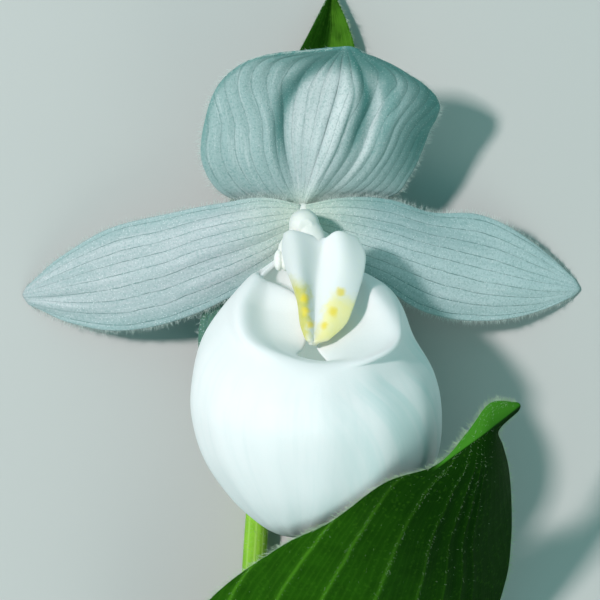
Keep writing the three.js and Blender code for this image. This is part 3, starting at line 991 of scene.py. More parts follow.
class Slot(Enum):
    """The kinds of organ; by its kind, a piece's hairs take the tepal finish or the green one."""

    STEM = "stem"
    LEAF = "leaf"
    TEPAL = "tepal"
    LIP = "lip"
    CREAM = "cream"
    POLLEN = "pollen"


Finish = TepalFinish | LipFinish | ShieldFinish | PlainFinish | GreenFinish

TEPAL_HAIR = PlainFinish((0.80, 0.88, 0.84), (0.70, 0.80, 0.76), 0.6, 2.0, 0.0)
GREEN_HAIR = PlainFinish((0.42, 0.60, 0.34), (0.66, 0.82, 0.58), 0.6, 2.0, 0.0)


# ---- organs ----------------------------------------------------------------------------------------------


@dataclass
class Organ:
    """An organ of the plant, which stands for the solid of the same name."""

    name: str = ""
    slot: Slot = Slot.TEPAL
    finish: Finish = TepalFinish()

    def shape(self) -> Shape:
        """The shape of the organ's skin."""
        raise NotImplementedError

    def make(self) -> bpy.types.Object:
        """Makes the organ's skin."""
        return self.shape().as_object(self.name + "_skin")

    def hairs(self) -> Shape | None:
        """The hairs on the organ, if it has any."""
        return None

    def place(self, obj: bpy.types.Object) -> None:
        """Ties a piece to the frame."""
        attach(obj, "root")

    def build(self) -> None:
        """Makes, dresses and places the organ's pieces, and reports them."""
        obj = self.make()
        self.finish.dress(obj)
        self.place(obj)
        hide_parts(self.name)
        LOG.info("%s: %d faces", obj.name, len(obj.data.polygons))
        coat = self.hairs()
        if coat:
            hair = coat.as_object(self.name + "_hairs")
            (TEPAL_HAIR if self.slot is Slot.TEPAL else GREEN_HAIR).dress(hair)
            self.place(hair)
            LOG.info("%s: %d faces", hair.name, len(hair.data.polygons))


@dataclass
class Blade(Organ):
    """A thin blade over rails, with veins in low relief, a thin rim and hairs along its margins."""

    rails: list[Rail] = field(default_factory=list)
    rows: int = 110
    columns: int = 90
    thickness: float = 0.6
    rim: float = 0.16
    veins: float = 9.0
    vein_relief: float = 0.03
    wave: float = 0.12
    seed: int = 3
    margin_fuzz: Fuzz = Fuzz(1300, 0.85, 0.042)

    def across(self, s: np.ndarray, v: np.ndarray) -> np.ndarray:
        """Where a point lies across the blade's veins.

        Args:
            s: places along the blade.
            v: places across it.

        Returns:
            From 0 at one margin to 1 at the other.
        """
        return (v + 1) / 2 + 0 * s

    def relief(self, s: np.ndarray, v: np.ndarray) -> np.ndarray:
        """How far the blade is raised.

        Args:
            s: places along it.
            v: places across it.

        Returns:
            Heights in millimetres.
        """
        open_part = smoothstep(s, 0.02, 0.15) * (1 - smoothstep(s, 0.9, 1.0))
        groove = -self.vein_relief * np.abs(np.sin(math.pi * self.veins * self.across(s, v))) ** 8
        soft = self.wave * ripples(s, v, self.seed, 6, 2.2)
        margin = self.wave * smoothstep(np.abs(v), 0.75, 1.0) * ripples(s, 0 * v, self.seed + 1, 4, 7.0)
        return open_part * (groove + soft + margin)

    def grid(self) -> np.ndarray:
        """The points of the blade's middle surface, along and then across."""
        s, v = np.linspace(0, 1, self.rows + 1), np.linspace(-1, 1, self.columns + 1)
        plain = skin(self.rails, s, v)
        raised = plain + normals_of(plain) * self.relief(s[:, None], v[None, :])[..., None]
        raised[..., 2] = np.maximum(raised[..., 2], self.rim / 2)
        return raised

    def shape(self) -> Shape:
        """The blade, thin at its rim and resting on the table where it meets it."""
        s = np.linspace(0, 1, self.rows + 1)[:, None]
        v = np.linspace(-1, 1, self.columns + 1)[None, :]
        edge = np.maximum(np.abs(v) ** MARGIN_POWER, np.abs(2 * s - 1) ** END_POWER)
        made = sheet_shape(self.grid(), half_of(self.thickness, self.rim, edge))
        made.points[:, 2] = np.maximum(made.points[:, 2], 0.0)
        made.places = [self.over_veins(block) for block in made.places]
        return made

    def over_veins(self, places: np.ndarray) -> np.ndarray:
        """Places across the blade as places across its veins."""
        return np.stack([self.across(places[..., 1], 2 * places[..., 0] - 1), places[..., 1]], -1)

    def hairs(self) -> Shape:
        """Hairs along both margins."""
        grid = self.grid()
        draw = np.random.default_rng(self.margin_fuzz.seed + self.seed)
        s = draw.uniform(0.06, 1.0, self.margin_fuzz.count)
        right = draw.uniform(0, 1, len(s)) < 0.5
        edge, inner = np.where(right, 1.0, 0.0), np.where(right, 0.97, 0.03)
        roots = on_grid(grid, s, edge)
        out = unit(roots - on_grid(grid, s, inner)) + 0.25 * on_grid(normals_of(grid), s, edge)
        return self.margin_fuzz.grow(roots, out)


@dataclass
class DorsalSepal(Blade):
    """The upper sepal, a hood with three lengthwise folds and two valleys between them."""

    name: str = "dorsal_sepal"
    rows: int = 130
    columns: int = 200
    veins: float = 21.0
    vein_relief: float = 0.02
    wave: float = 0.1
    seed: int = 5
    # Painted shade in the valleys, the creases, on the right flank and along the left margin; painted
    # highlights on the crests; and painted shade on the top of the hood, which turns down from the lamp.
    finish: TepalFinish = TepalFinish(
        colour=(0.49, 0.56, 0.565),
        edge_colour=(0.34, 0.465, 0.465),
        streak_and_highlight_colour=(0.74, 0.78, 0.79),
        base_colour=(0.60, 0.72, 0.63),
        base_reach=0.2,
        edge=(0.1, 0.3),
        veins=21.0,
        vein_share=0.1,
        vein_depth=0.4,
        run_out=0.75,
        shade_colour=(0.05, 0.215, 0.20),
        waver=0.02,
        streak=0.4,
        painted_glint=0.3,
        # Painted shade on the top of the hood.
        tip=(0.74, 0.93, 0.9),
        valleys=(
            (0.285, 0.065, 0.85),
            (0.5, 0.012, 0.9),
            (0.585, 0.012, 0.45),
            (0.64, 0.06, 0.95),
            (0.75, 0.055, 0.62),
            (0.98, 0.24, 1.0),
            (0.0, 0.035, 0.6),
        ),
        painted_highlight_bands=((0.542, 0.04, 0.8), (0.36, 0.03, 0.2), (0.71, 0.018, 0.5)),
    )
    creases: tuple[Band, ...] = (
        (0.5, 0.012, 0.6),
        (0.585, 0.014, 0.3),
        (0.42, 0.02, 0.15),
    )
    pleat_height: float = 0.09
    margin_fuzz: Fuzz = Fuzz(1100, 1.0, 0.036)
    rail_places: tuple[float, ...] = (0.0, 0.13, 0.24, 0.32, 0.455, 0.567, 0.677, 0.77, 1.0)

    def even(self, v: np.ndarray) -> np.ndarray:
        """Places across the sepal by its width, not by its rails, from 0 at its left margin to 1."""
        return np.interp((v + 1) / 2, np.linspace(0, 1, len(self.rail_places)), self.rail_places)

    def across(self, s: np.ndarray, v: np.ndarray) -> np.ndarray:
        """Where a point lies across the veins, which run out over the margin before the tip.

        Args:
            s: places along the blade.
            v: places across it.

        Returns:
            From 0 at the left margin to 1 at the right one, and less than that towards the tip.
        """
        return 0.5 + (self.even(v) - 0.5) / (1 + self.finish.run_out * smoothstep(s + 0 * v, 0.45, 1.0))

    def over_veins(self, places: np.ndarray) -> np.ndarray:
        """Places across the rails as places across the width."""
        return np.stack([self.even(2 * places[..., 0] - 1), places[..., 1]], -1)

    def relief(self, s: np.ndarray, v: np.ndarray) -> np.ndarray:
        """The low relief of a blade, with pleats between the veins and sharp creases beside the midrib.

        Args:
            s: places along it.
            v: places across it.

        Returns:
            Heights in millimetres.
        """
        wide = self.even(v)
        open_part = smoothstep(s, 0.1, 0.35) * (1 - smoothstep(s, 0.8, 0.97))
        inside = smoothstep(wide, 0.02, 0.08) * (1 - 0.6 * smoothstep(wide, 0.78, 0.86))
        total = self.pleat_height * inside * np.cos(2 * math.pi * self.veins * self.across(s, v))
        for middle, half, depth in self.creases:
            total = total - depth * np.exp(-(((wide - middle) / half) ** 2))
        return super().relief(s, v) + open_part * total

    def __post_init__(self) -> None:
        """Lays out the rails, from the left margin to the right one."""
        left_margin = [
            [-0.9, 1.5, 13.2],
            [-10.2, 2.5, 12.4],
            [-14.0, 7.1, 15.2],
            [-13.8, 12.9, 17.6],
            [-11.4, 18.5, 20.0],
            [-5.8, 21.9, 23.2],
            [4.4, 22.6, 27.0],
        ]
        left_field = [
            [-0.75, 1.45, 13.3],
            [-5.8, 3.4, 14.4],
            [-8.6, 7.7, 16.6],
            [-9.0, 13.0, 18.2],
            [-7.6, 18.1, 19.8],
            [-3.2, 21.4, 22.6],
            [4.7, 22.65, 27.1],
        ]
        left_fold = [
            [-0.6, 1.4, 13.4],
            [-2.8, 4.0, 15.0],
            [-4.4, 8.1, 17.0],
            [-4.7, 13.0, 18.1],
            [-3.7, 17.6, 19.1],
            [0.0, 20.9, 21.8],
            [5.0, 22.7, 27.2],
        ]
        left_valley = [
            [-0.4, 1.35, 13.45],
            [-1.1, 4.5, 14.7],
            [-2.0, 8.4, 16.0],
            [-2.3, 13.0, 16.4],
            [-0.8, 17.3, 17.3],
            [2.2, 20.6, 20.7],
            [5.3, 22.75, 27.3],
        ]
        centre = [
            [-0.1, 1.3, 13.5],
            [0.4, 4.7, 15.8],
            [0.9, 8.6, 18.2],
            [1.8, 13.0, 19.4],
            [3.0, 17.0, 20.0],
            [4.4, 20.4, 22.1],
            [5.6, 22.8, 27.5],
        ]
        midrib = [
            [0.1, 1.3, 13.6],
            [1.9, 4.8, 16.8],
            [3.9, 8.6, 19.7],
            [5.4, 12.8, 21.6],
            [6.5, 16.8, 22.4],
            [6.3, 20.2, 24.0],
            [5.9, 22.8, 27.6],
        ]
        right_valley = [
            [0.35, 1.3, 13.5],
            [4.2, 4.5, 15.8],
            [7.2, 8.2, 18.2],
            [8.8, 12.5, 19.2],
            [9.6, 16.3, 20.0],
            [8.7, 19.7, 23.0],
            [6.4, 22.8, 27.5],
        ]
        right_fold = [
            [0.6, 1.4, 13.4],
            [6.8, 4.0, 14.6],
            [10.4, 8.0, 17.4],
            [12.3, 12.5, 19.8],
            [13.1, 16.3, 20.8],
            [11.9, 19.5, 22.8],
            [6.9, 22.7, 27.3],
        ]
        right_margin = [
            [0.9, 1.5, 13.2],
            [11.8, 2.6, 11.4],
            [15.0, 5.8, 11.8],
            [17.6, 11.4, 13.0],
            [19.3, 15.5, 14.8],
            [15.9, 18.8, 19.2],
            [7.5, 22.5, 27.0],
        ]
        self.rails = [
            left_margin,
            left_field,
            left_fold,
            left_valley,
            centre,
            midrib,
            right_valley,
            right_fold,
            right_margin,
        ]


@dataclass
class Synsepal(Blade):
    """The two side sepals, grown together under the slipper."""

    name: str = "synsepal"
    rows: int = 70
    columns: int = 60
    veins: float = 14.0
    # Dark teal-green colours: painted shade, for the shade of the petals and slipper that it lies in.
    finish: Finish = TepalFinish(
        colour=(0.10, 0.22, 0.155),
        edge_colour=(0.08, 0.19, 0.135),
        streak_and_highlight_colour=(0.19, 0.33, 0.25),
        veins=14.0,
    )
    margin_fuzz: Fuzz = Fuzz(500, 0.6)

    def __post_init__(self) -> None:
        """Lays out the rails."""
        left = [
            [-1.5, -4.3, 14.6],
            [-9.5, -8.8, 11.3],
            [-14.4, -14, 9.6],
            [-14.2, -22, 8.2],
            [-9.5, -30.5, 7.8],
            [-1.2, -36.8, 8.6],
        ]
        middle = [
            [0, -4.2, 15.0],
            [0.2, -9, 13.5],
            [0.3, -16, 11.3],
            [0.2, -23, 9.4],
            [0, -30, 8.4],
            [-0.2, -37, 8.8],
        ]
        right = [
            [1.5, -4.3, 14.6],
            [9.8, -8.4, 11.3],
            [14.3, -13.5, 9.6],
            [14.0, -22, 8.2],
            [9.3, -30.5, 7.8],
            [0.8, -36.8, 8.6],
        ]
        self.rails = [right, middle, left]


@dataclass
class LeftPetal(Blade):
    """The left petal, whose tip touches the table."""

    name: str = "petal_left"
    seed: int = 11

    def __post_init__(self) -> None:
        """Lays out the rails."""
        upper = [
            [-0.35, 1.6, 15.7],
            [-5.7, 2.6, 15.6],
            [-12.4, 1.7, 13.3],
            [-19.6, 0.3, 10.4],
            [-27.5, -1.5, 7.2],
            [-34.9, -5.6, 3.7],
            [-40.2, -10.1, 0.3],
        ]
        middle = [
            [-0.45, -0.6, 15.8],
            [-5.9, -2.4, 16.1],
            [-13.1, -4.3, 14.2],
            [-20.0, -6.7, 11.3],
            [-27.2, -8.5, 8.1],
            [-34.0, -9.9, 4.4],
            [-40.6, -11.1, 0.3],
        ]
        lower = [
            [-1.4, -3.4, 15.5],
            [-4.6, -7.6, 14.6],
            [-11.0, -11.8, 12.3],
            [-18.6, -14.9, 9.7],
            [-26.1, -16.2, 6.7],
            [-33.5, -15.1, 3.2],
            [-39.8, -12.4, 0.3],
        ]
        self.rails = [lower, middle, upper]


@dataclass
class RightPetal(Blade):
    """The right petal, whose tip touches the table."""

    name: str = "petal_right"
    seed: int = 17
    # A darker, tealer copy of the petal colours: painted shade, as the right petal turns from the lamp. Its
    # painted light fade and highlight band paint light back over its middle and outer part.
    finish: Finish = TepalFinish(
        colour=(0.42, 0.53, 0.545),
        edge_colour=(0.27, 0.44, 0.44),
        streak_and_highlight_colour=(0.64, 0.75, 0.77),
        painted_light_fade=(0.4, 0.85, 0.7),
        painted_highlight_bands=((0.62, 0.34, 0.5),),
    )

    def __post_init__(self) -> None:
        """Lays out the rails."""
        upper = [
            [0.35, 1.6, 15.7],
            [5.9, 2.6, 15.6],
            [12.0, 2.4, 13.3],
            [18.3, 0.7, 10.4],
            [25.6, 0.3, 7.2],
            [32.9, -3.3, 3.7],
            [39.5, -9.0, 0.3],
        ]
        middle = [
            [0.45, -0.6, 15.8],
            [5.9, -2.0, 16.1],
            [12.5, -3.8, 14.2],
            [18.8, -5.7, 11.3],
            [25.5, -7.4, 8.1],
            [32.9, -9.1, 4.4],
            [40.1, -10.2, 0.3],
        ]
        lower = [
            [1.6, -3.2, 15.5],
            [4.9, -6.9, 14.6],
            [10.9, -9.7, 12.3],
            [16.9, -13.4, 9.7],
            [23.9, -14.8, 6.7],
            [32.0, -14.0, 3.2],
            [39.2, -11.2, 0.3],
        ]
        self.rails = [upper, middle, lower]


@dataclass
class Bract(Blade):
    """The leafy bract behind the flower, keeled and lying on the table."""

    name: str = "bract"
    slot: Slot = Slot.LEAF
    rows: int = 80
    columns: int = 60
    veins: float = 12.0
    vein_relief: float = 0.04
    wave: float = 0.06
    finish: Finish = GreenFinish(
        colour=(0.07, 0.215, 0.014),
        rib_colour=(0.12, 0.30, 0.035),
        mottle_and_shade_colour=(0.009, 0.055, 0.003),
        ribs=12.0,
        # Painted shade on the left half of the keel, which turns from the lamp.
        painted_shade_left_half=0.9,
    )
    margin_fuzz: Fuzz = Fuzz(900, 0.9)

    def __post_init__(self) -> None:
        """Lays out the rails."""
        left = [
            [-7.7, -24, 2.4],
            [-11.0, -17, 3.6],
            [-12.2, -8, 3.4],
            [-10.6, 2, 3.0],
            [-6.2, 13, 2.8],
            [-0.1, 24.8, 3.0],
            [4.0, 32.6, 2.4],
        ]
        keel = [
            [-5.2, -24.2, 0.7],
            [-4.3, -17, 0.35],
            [-2.7, -8, 0.15],
            [-0.9, 2, 0.15],
            [1.3, 13, 0.25],
            [3.7, 24.6, 0.8],
            [4.25, 32.8, 2.1],
        ]
        right = [
            [-2.7, -24, 2.4],
            [1.8, -17, 3.6],
            [5.8, -8, 3.4],
            [8.2, 2, 3.0],
            [8.7, 13, 2.8],
            [7.4, 24.8, 3.0],
            [4.5, 32.6, 2.4],
        ]
        self.rails = [left, keel, right]


STEM_AXIS = [
    [-9.3, -112, 3.1],
    [-8.6, -92, 3.05],
    [-7.8, -70, 2.9],
    [-6.9, -48, 2.8],
    [-5.2, -25, 3.0],
]
# The leaf's margin rolls over above this line.
ROLL_LINE: Line = (18.4, -34.0, 0.7236)


@dataclass
class Leaf(Blade):
    """The pleated leaf: a sheath round the stem that opens into a blade, rolled over near its tip."""

    name: str = "leaf"
    slot: Slot = Slot.LEAF
    rows: int = 180
    columns: int = 210
    thickness: float = 0.55
    wave: float = 0.2
    ribs: int = 9
    swell_height: float = 0.11
    rib_height: float = 0.16
    rib_slant: float = 2.4
    rib_shift: float = 0.24
    rib_curve: tuple[float, float, float, float] = (0.78, 2.9, 1.6, 2.9)
    curved: Span = (-0.6, 0.8)
    outer_paces: tuple[float, float] = (3.5, 9.0)
    crowded: Span = (0.42, 0.62)
    opens_at: float = 0.38
    roll_height: float = 0.4
    sheath_radius: float = 3.0
    finish: Finish = GreenFinish(
        colour=(0.018, 0.090, 0.003),
        rib_colour=(0.075, 0.24, 0.014),
        mottle_and_shade_colour=(0.002, 0.020, 0.001),
        ribs=9.0,
        rib_share=0.07,
        # The rolled margin's underside: partly its own paler green, partly painted light.
        lit_underside_colour=(0.06, 0.25, 0.02),
        roll_line=ROLL_LINE,
        # Painted shade over the right and upper part of the leaf.
        painted_shade_from=(-2.0, 22.0),
        mottle=0.35,
        last_rib=0.52,
    )
    margin_fuzz: Fuzz = Fuzz(3600, 1.0, 0.045)
    rib_fuzz: Fuzz = Fuzz(2200, 0.34, 0.028, 0.7, 8)
    tries: int = 20000

    def __post_init__(self) -> None:
        """Lays out the rails: two rows of sheath, and the rows of the blade."""
        columns = 7

        def sheath(t: float, half_turn: float) -> Rail:
            """A row round the stem.

            Args:
                t: how far up the stem.
                half_turn: how far it wraps to each side, in degrees.

            Returns:
                The points of the row.
            """
            x, y, z = through(np.array(STEM_AXIS, float), np.array([t]))[0]
            radius = self.sheath_radius
            angle = math.radians(half_turn) * np.linspace(-1, 1, columns)
            return [[x + radius * math.sin(a), y, z + radius * math.cos(a)] for a in angle]

        self.rails = turned(
            [
                sheath(0.06, 158),
                sheath(0.16, 150),
                bow([-13.6, -87, 4.2], [-8.0, -87, 8.2], [-2.2, -88, 3.4], columns),
                bow([-20.5, -76.5, 9.5], [-5.0, -78.5, 13.4], [9.5, -80.0, 3.0], columns),
                bow([-20.0, -64.5, 15], [0.0, -68.5, 18.2], [20.0, -71.0, 3.2], columns),
                bow([-13.0, -53.4, 21], [7.0, -57.5, 23.8], [26.0, -60.0, 7], columns),
                bow([-3.1, -45.4, 29.0], [13.5, -49.3, 28.4], [28.6, -51.5, 11.5], columns),
                bow([3.8, -41.6, 33.4], [17.5, -44.3, 31.2], [29.1, -45.5, 15.5], columns),
                bow([11.0, -36.2, 36.3], [21.5, -39.0, 33.0], [28.9, -40.0, 19.5], columns),
                bow([17.9, -33.8, 36.6], [24.0, -34.6, 34.4], [28.2, -35.0, 24.5], columns),
                bow([22.2, -29.4, 34.8], [24.6, -30.7, 35.6], [27.1, -31.6, 29.5], columns),
                bow([25.3, -25.7, 33.2], [25.8, -27.8, 34.6], [26.3, -29.4, 32.6], columns),
                bow([29.0, -25.7, 32.6], [29.3, -26.0, 32.7], [29.2, -26.5, 32.4], columns),
            ]
        )

    def across(self, s: np.ndarray, v: np.ndarray) -> np.ndarray:
        """Where a point lies across the ribs, which slant into the left margin and crowd to the right.

        Args:
            s: places along the blade.
            v: places across it.

        Returns:
            A number that passes an odd half of a rib's share on each rib.
        """
        slanted = v + self.rib_slant * (np.maximum(s, self.opens_at) - self.opens_at) - self.rib_shift
        near = np.clip(slanted, *self.curved)
        far = np.where(slanted < near, *self.outer_paces) * (slanted - near)
        a, b, c, d = self.rib_curve
        return (a + b * near + c * near**2 + d * near**3 + far) / self.ribs

    def relief(self, s: np.ndarray, v: np.ndarray) -> np.ndarray:
        """The ribs of the blade, and the soft swells between them.

        Args:
            s: places along it.
            v: places across it.

        Returns:
            Heights in millimetres.
        """
        off = np.abs((self.across(s, v) * self.ribs) % 1 - 0.5)
        opening = smoothstep(s, 0.15, 0.4) * (1 - smoothstep(s, 0.62, 0.8))
        inside = 1 - smoothstep(np.abs(v), 0.88, 1)
        inside = inside * (1 - 0.85 * smoothstep(self.across(s, v), *self.crowded))
        rib = self.rib_height * np.exp(-((off / 0.08) ** 2)) + self.swell_height * np.cos(2 * math.pi * off)
        return opening * (inside * rib + self.wave * 0.5 * ripples(s, v, self.seed, 6, 2.5))

    def grid(self) -> np.ndarray:
        """The points of the leaf's middle surface, with its left margin rolled over near the tip."""
        points = super().grid()
        x0, y0, slope = ROLL_LINE
        above = points[..., 1] - y0 - slope * (points[..., 0] - x0)
        lift = self.roll_height * smoothstep(above, -0.1, 0.4)
        points[..., 2] += lift * smoothstep(points[..., 0], x0 - 1.5, x0 + 1.5)
        return points

    def hairs(self) -> Shape:
        """Hairs along the margins and, most of them on the ribs, over the upper face."""
        grid = self.grid()
        normals = normals_of(grid)
        draw = np.random.default_rng(self.rib_fuzz.seed)
        s, v = draw.uniform(0.1, 0.98, self.tries), draw.uniform(-1, 1, self.tries)
        off = np.abs((self.across(s, v) * self.ribs) % 1 - 0.5)
        spread = 1 - 0.9 * smoothstep(self.across(s, v), *self.crowded)
        on_rib = (off < 0.06) & (draw.uniform(0, 1, len(s)) < (0.75 - 0.6 * v) * spread)
        kept = on_rib | (draw.uniform(0, 1, len(s)) < 0.02 * spread)
        s, v = s[kept][: self.rib_fuzz.count], v[kept][: self.rib_fuzz.count]
        up = on_grid(normals, s, (v + 1) / 2)
        roots = on_grid(grid, s, (v + 1) / 2) + up * self.thickness * 0.4
        return super().hairs().joined(self.rib_fuzz.grow(roots, up))


@dataclass
class Rod(Organ):
    """A round organ along a path, ribbed and hairy."""

    slot: Slot = Slot.STEM
    path: list[Row] = field(default_factory=list)
    rings: int = 120
    sides: int = 48
    rib_count: int = 9
    rib_height: float = 0.03
    finish: Finish = GreenFinish(
        colour=(0.29, 0.60, 0.05),
        rib_colour=(0.42, 0.70, 0.14),
        mottle_and_shade_colour=(0.19, 0.44, 0.03),
        ribs=9.0,
        rib_share=0.25,
    )
    fuzz: Fuzz = Fuzz(2600, 0.55, 0.04, 0.5, 4)

    def ribbed(self) -> tuple[np.ndarray, np.ndarray]:
        """The rings of the organ and the directions out of it."""
        points, out = tube_rings(self.path, self.rings, self.sides)
        axis = points.mean(axis=1, keepdims=True)
        angle = 2 * math.pi * np.arange(self.sides) / self.sides
        bulge = np.sin(math.pi * np.linspace(0, 1, self.rings + 1))[:, None]
        ribs = 1 + self.rib_height * bulge * np.cos(self.rib_count * angle)[None, :]
        return axis + (points - axis) * ribs[..., None], out

    def shape(self) -> Shape:
        """The organ as a closed tube."""
        return tube_shape(self.ribbed()[0])

    def hairs(self) -> Shape:
        """Hairs all round."""
        points, out = self.ribbed()
        draw = np.random.default_rng(self.fuzz.seed)
        t, turn = draw.uniform(0.01, 0.99, self.fuzz.count), draw.uniform(0, 1, self.fuzz.count)
        place = turn * (self.sides - 1) / self.sides
        return self.fuzz.grow(on_grid(points, t, place), on_grid(out, t, place))


@dataclass
class Stem(Rod):
    """The stem, cut at its lower end."""

    name: str = "stem"
    base_radius: float = 2.3
    top_radius: float = 1.5

    def __post_init__(self) -> None:
        """Gives each point of the axis its radius."""
        last = len(STEM_AXIS) - 1
        taper = self.top_radius - self.base_radius
        self.path = [[*p, self.base_radius + taper * k / last] for k, p in enumerate(STEM_AXIS)]


@dataclass
class Ovary(Rod):
    """The ribbed ovary between stem and flower."""

    name: str = "ovary"
    rings: int = 60
    sides: int = 72
    rib_count: int = 6
    rib_height: float = 0.09
    fuzz: Fuzz = Fuzz(1200, 0.5, 0.04, 0.5, 6)

    def __post_init__(self) -> None:
        """Lays out the path."""
        self.path = [
            [-5.1, -24.4, 3.1, 1.5],
            [-4.3, -18.5, 4.4, 1.9],
            [-3.1, -12.5, 6.6, 2.3],
            [-1.7, -6.8, 9.6, 2.4],
            [-0.4, -2.3, 12.3, 1.9],
            [0, -0.3, 14.1, 1.5],
        ]


@dataclass
class Slipper(Organ):
    """The slipper: a bag of egg-shaped rings whose mouth has two side lobes folded into it."""

    name: str = "slipper"
    slot: Slot = Slot.LIP
    finish: Finish = LipFinish()
    wall: float = 0.7
    rim: float = 0.3
    rows: int = 150
    sides: int = 192
    furrows: int = 13
    furrow_depth: float = 0.11
    middle: Point = (1.0, -27.0, 24.5)
    places: int = 12

    def ring(self, middle: Row, left: float, right: float, front: float, back: float, tilt: float) -> Rail:
        """A ring of the wall.

        Args:
            middle: its middle.
            left: how far it reaches to the left.
            right: how far it reaches to the right.
            front: how far it reaches forward, out of the flower's face.
            back: how far it reaches back.
            tilt: how far its front leans down, in degrees.

        Returns:
            Its points, from the right by way of the front.
        """
        angle = 2 * math.pi * np.arange(self.places) / self.places
        c, s = np.cos(angle), np.sin(angle)
        depth = s * np.where(s < 0, back, front)
        width = c * np.where(c < 0, left, right)
        lean = math.radians(tilt)
        offset = np.stack([width, -depth * math.sin(lean), depth * math.cos(lean)], 1)
        return (np.array(middle) + offset).tolist()

    def loops(self) -> np.ndarray:
        """The loops of the slipper, from its toe to the free edge of its lobes."""
        wall = [
            self.ring([-0.2, -44.4, 22.4], 0.02, 0.02, 0.02, 0.02, 0),
            self.ring([0.1, -43.7, 22.6], 3.6, 3.8, 3.8, 3.4, 0),
            self.ring([0.6, -41.9, 23.0], 7.0, 8.8, 7.4, 6.6, 0),
            self.ring([1.0, -38.4, 23.5], 11.0, 14.2, 11.0, 9.8, 2),
            self.ring([1.0, -33.0, 24.0], 14.5, 17.1, 13.9, 12.0, 6),
            self.ring([1.0, -27.0, 24.5], 16.1, 17.6, 15.8, 12.8, 12),
            self.ring([1.0, -22.0, 24.8], 15.9, 16.6, 16.3, 12.1, 19),
            self.ring([1.0, -17.5, 25.0], 14.5, 14.0, 16.3, 11.0, 26),
            self.ring([1.2, -13.8, 26.0], 11.6, 12.2, 15.2, 12.0, 33),
        ]
        crest = [
            [12.3, -14.8, 30.5],
            [12.2, -17.9, 34.3],
            [7.9, -20.1, 36.8],
            [1.7, -20.7, 37.6],
            [-3.9, -19.2, 36.2],
            [-7.6, -16.8, 33.2],
            [-8.4, -12.7, 28.7],
            [-6.8, -9.0, 23.6],
            [-5.8, -7.9, 18.6],
            [0.3, -4.8, 16.0],
            [6.1, -7.9, 18.6],
            [9.1, -9.6, 23.6],
        ]
        dish = [
            [8.0, -14.8, 28.6],
            [7.6, -17.9, 32.4],
            [5.7, -20.0, 35.9],
            [1.5, -20.3, 36.4],
            [-2.3, -19.2, 34.8],
            [-4.4, -17.0, 31.1],
            [-4.9, -13.6, 27.1],
            [-4.6, -9.9, 24.0],
            [-5.9, -8.5, 19.5],
            [0.3, -4.7, 16.4],
            [5.9, -7.7, 19.1],
            [7.3, -10.3, 23.8],
        ]
        free_edge = [
            [2.8, -14.8, 28.0],
            [1.8, -18.0, 31.0],
            [3.2, -20.2, 34.4],
            [1.2, -20.0, 35.3],
            [-0.8, -19.3, 34.0],
            [0.2, -18.0, 31.0],
            [1.0, -14.2, 28.2],
            [-1.2, -11.0, 25.6],
            [-5.5, -8.6, 20.2],
            [0.3, -4.6, 16.7],
            [5.7, -7.5, 19.5],
            [5.5, -10.3, 24.8],
        ]
        return np.array([*wall, crest, dish, free_edge])

    def grid(self) -> np.ndarray:
        """The middle of the wall, from the toe up and then round, with its shallow furrows."""
        loops = self.loops()
        t = np.linspace(0, 1, self.rows + 1)
        turn = np.arange(self.sides) / self.sides
        up = through(loops, t)
        points = around(up.transpose(1, 0, 2), turn).transpose(1, 0, 2)
        crest_at = (len(loops) - 3) / (len(loops) - 1)
        swell = np.sin(math.pi * np.minimum(1, t / crest_at))[:, None]
        furrow = self.furrow_depth * swell * np.cos(2 * math.pi * self.furrows * turn)[None, :]
        return points + unit(points - np.array(self.middle)) * furrow[..., None]

    def shape(self) -> Shape:
        """The slipper's wall, thin at its free edge."""
        grid = self.grid()
        ahead, behind = np.roll(grid, -1, axis=1), np.roll(grid, 1, axis=1)
        out = unit(np.cross(np.gradient(grid, axis=0), ahead - behind))
        out[0] = unit(out[1].mean(axis=0))
        t = np.linspace(0, 1, self.rows + 1)[:, None, None]
        half = half_of(self.wall, self.rim, t**END_POWER)
        outer, inner = grid + out * half, grid - out * half
        walls = tube_shape(np.concatenate([inner, outer[::-1]]))
        turn, along = walls.places[0][..., 0], walls.places[0][..., 1]
        # Faces of the inner wall get turns over 2, so that the finish gives them its painted glow.
        inside = (along.mean(axis=1) < 0.5)[:, None] & (along.max(axis=1) > 0.02)[:, None]
        walls.places[0] = np.stack([turn + 2.0 * inside, 1 - np.abs(1 - 2 * along)], -1)
        return walls


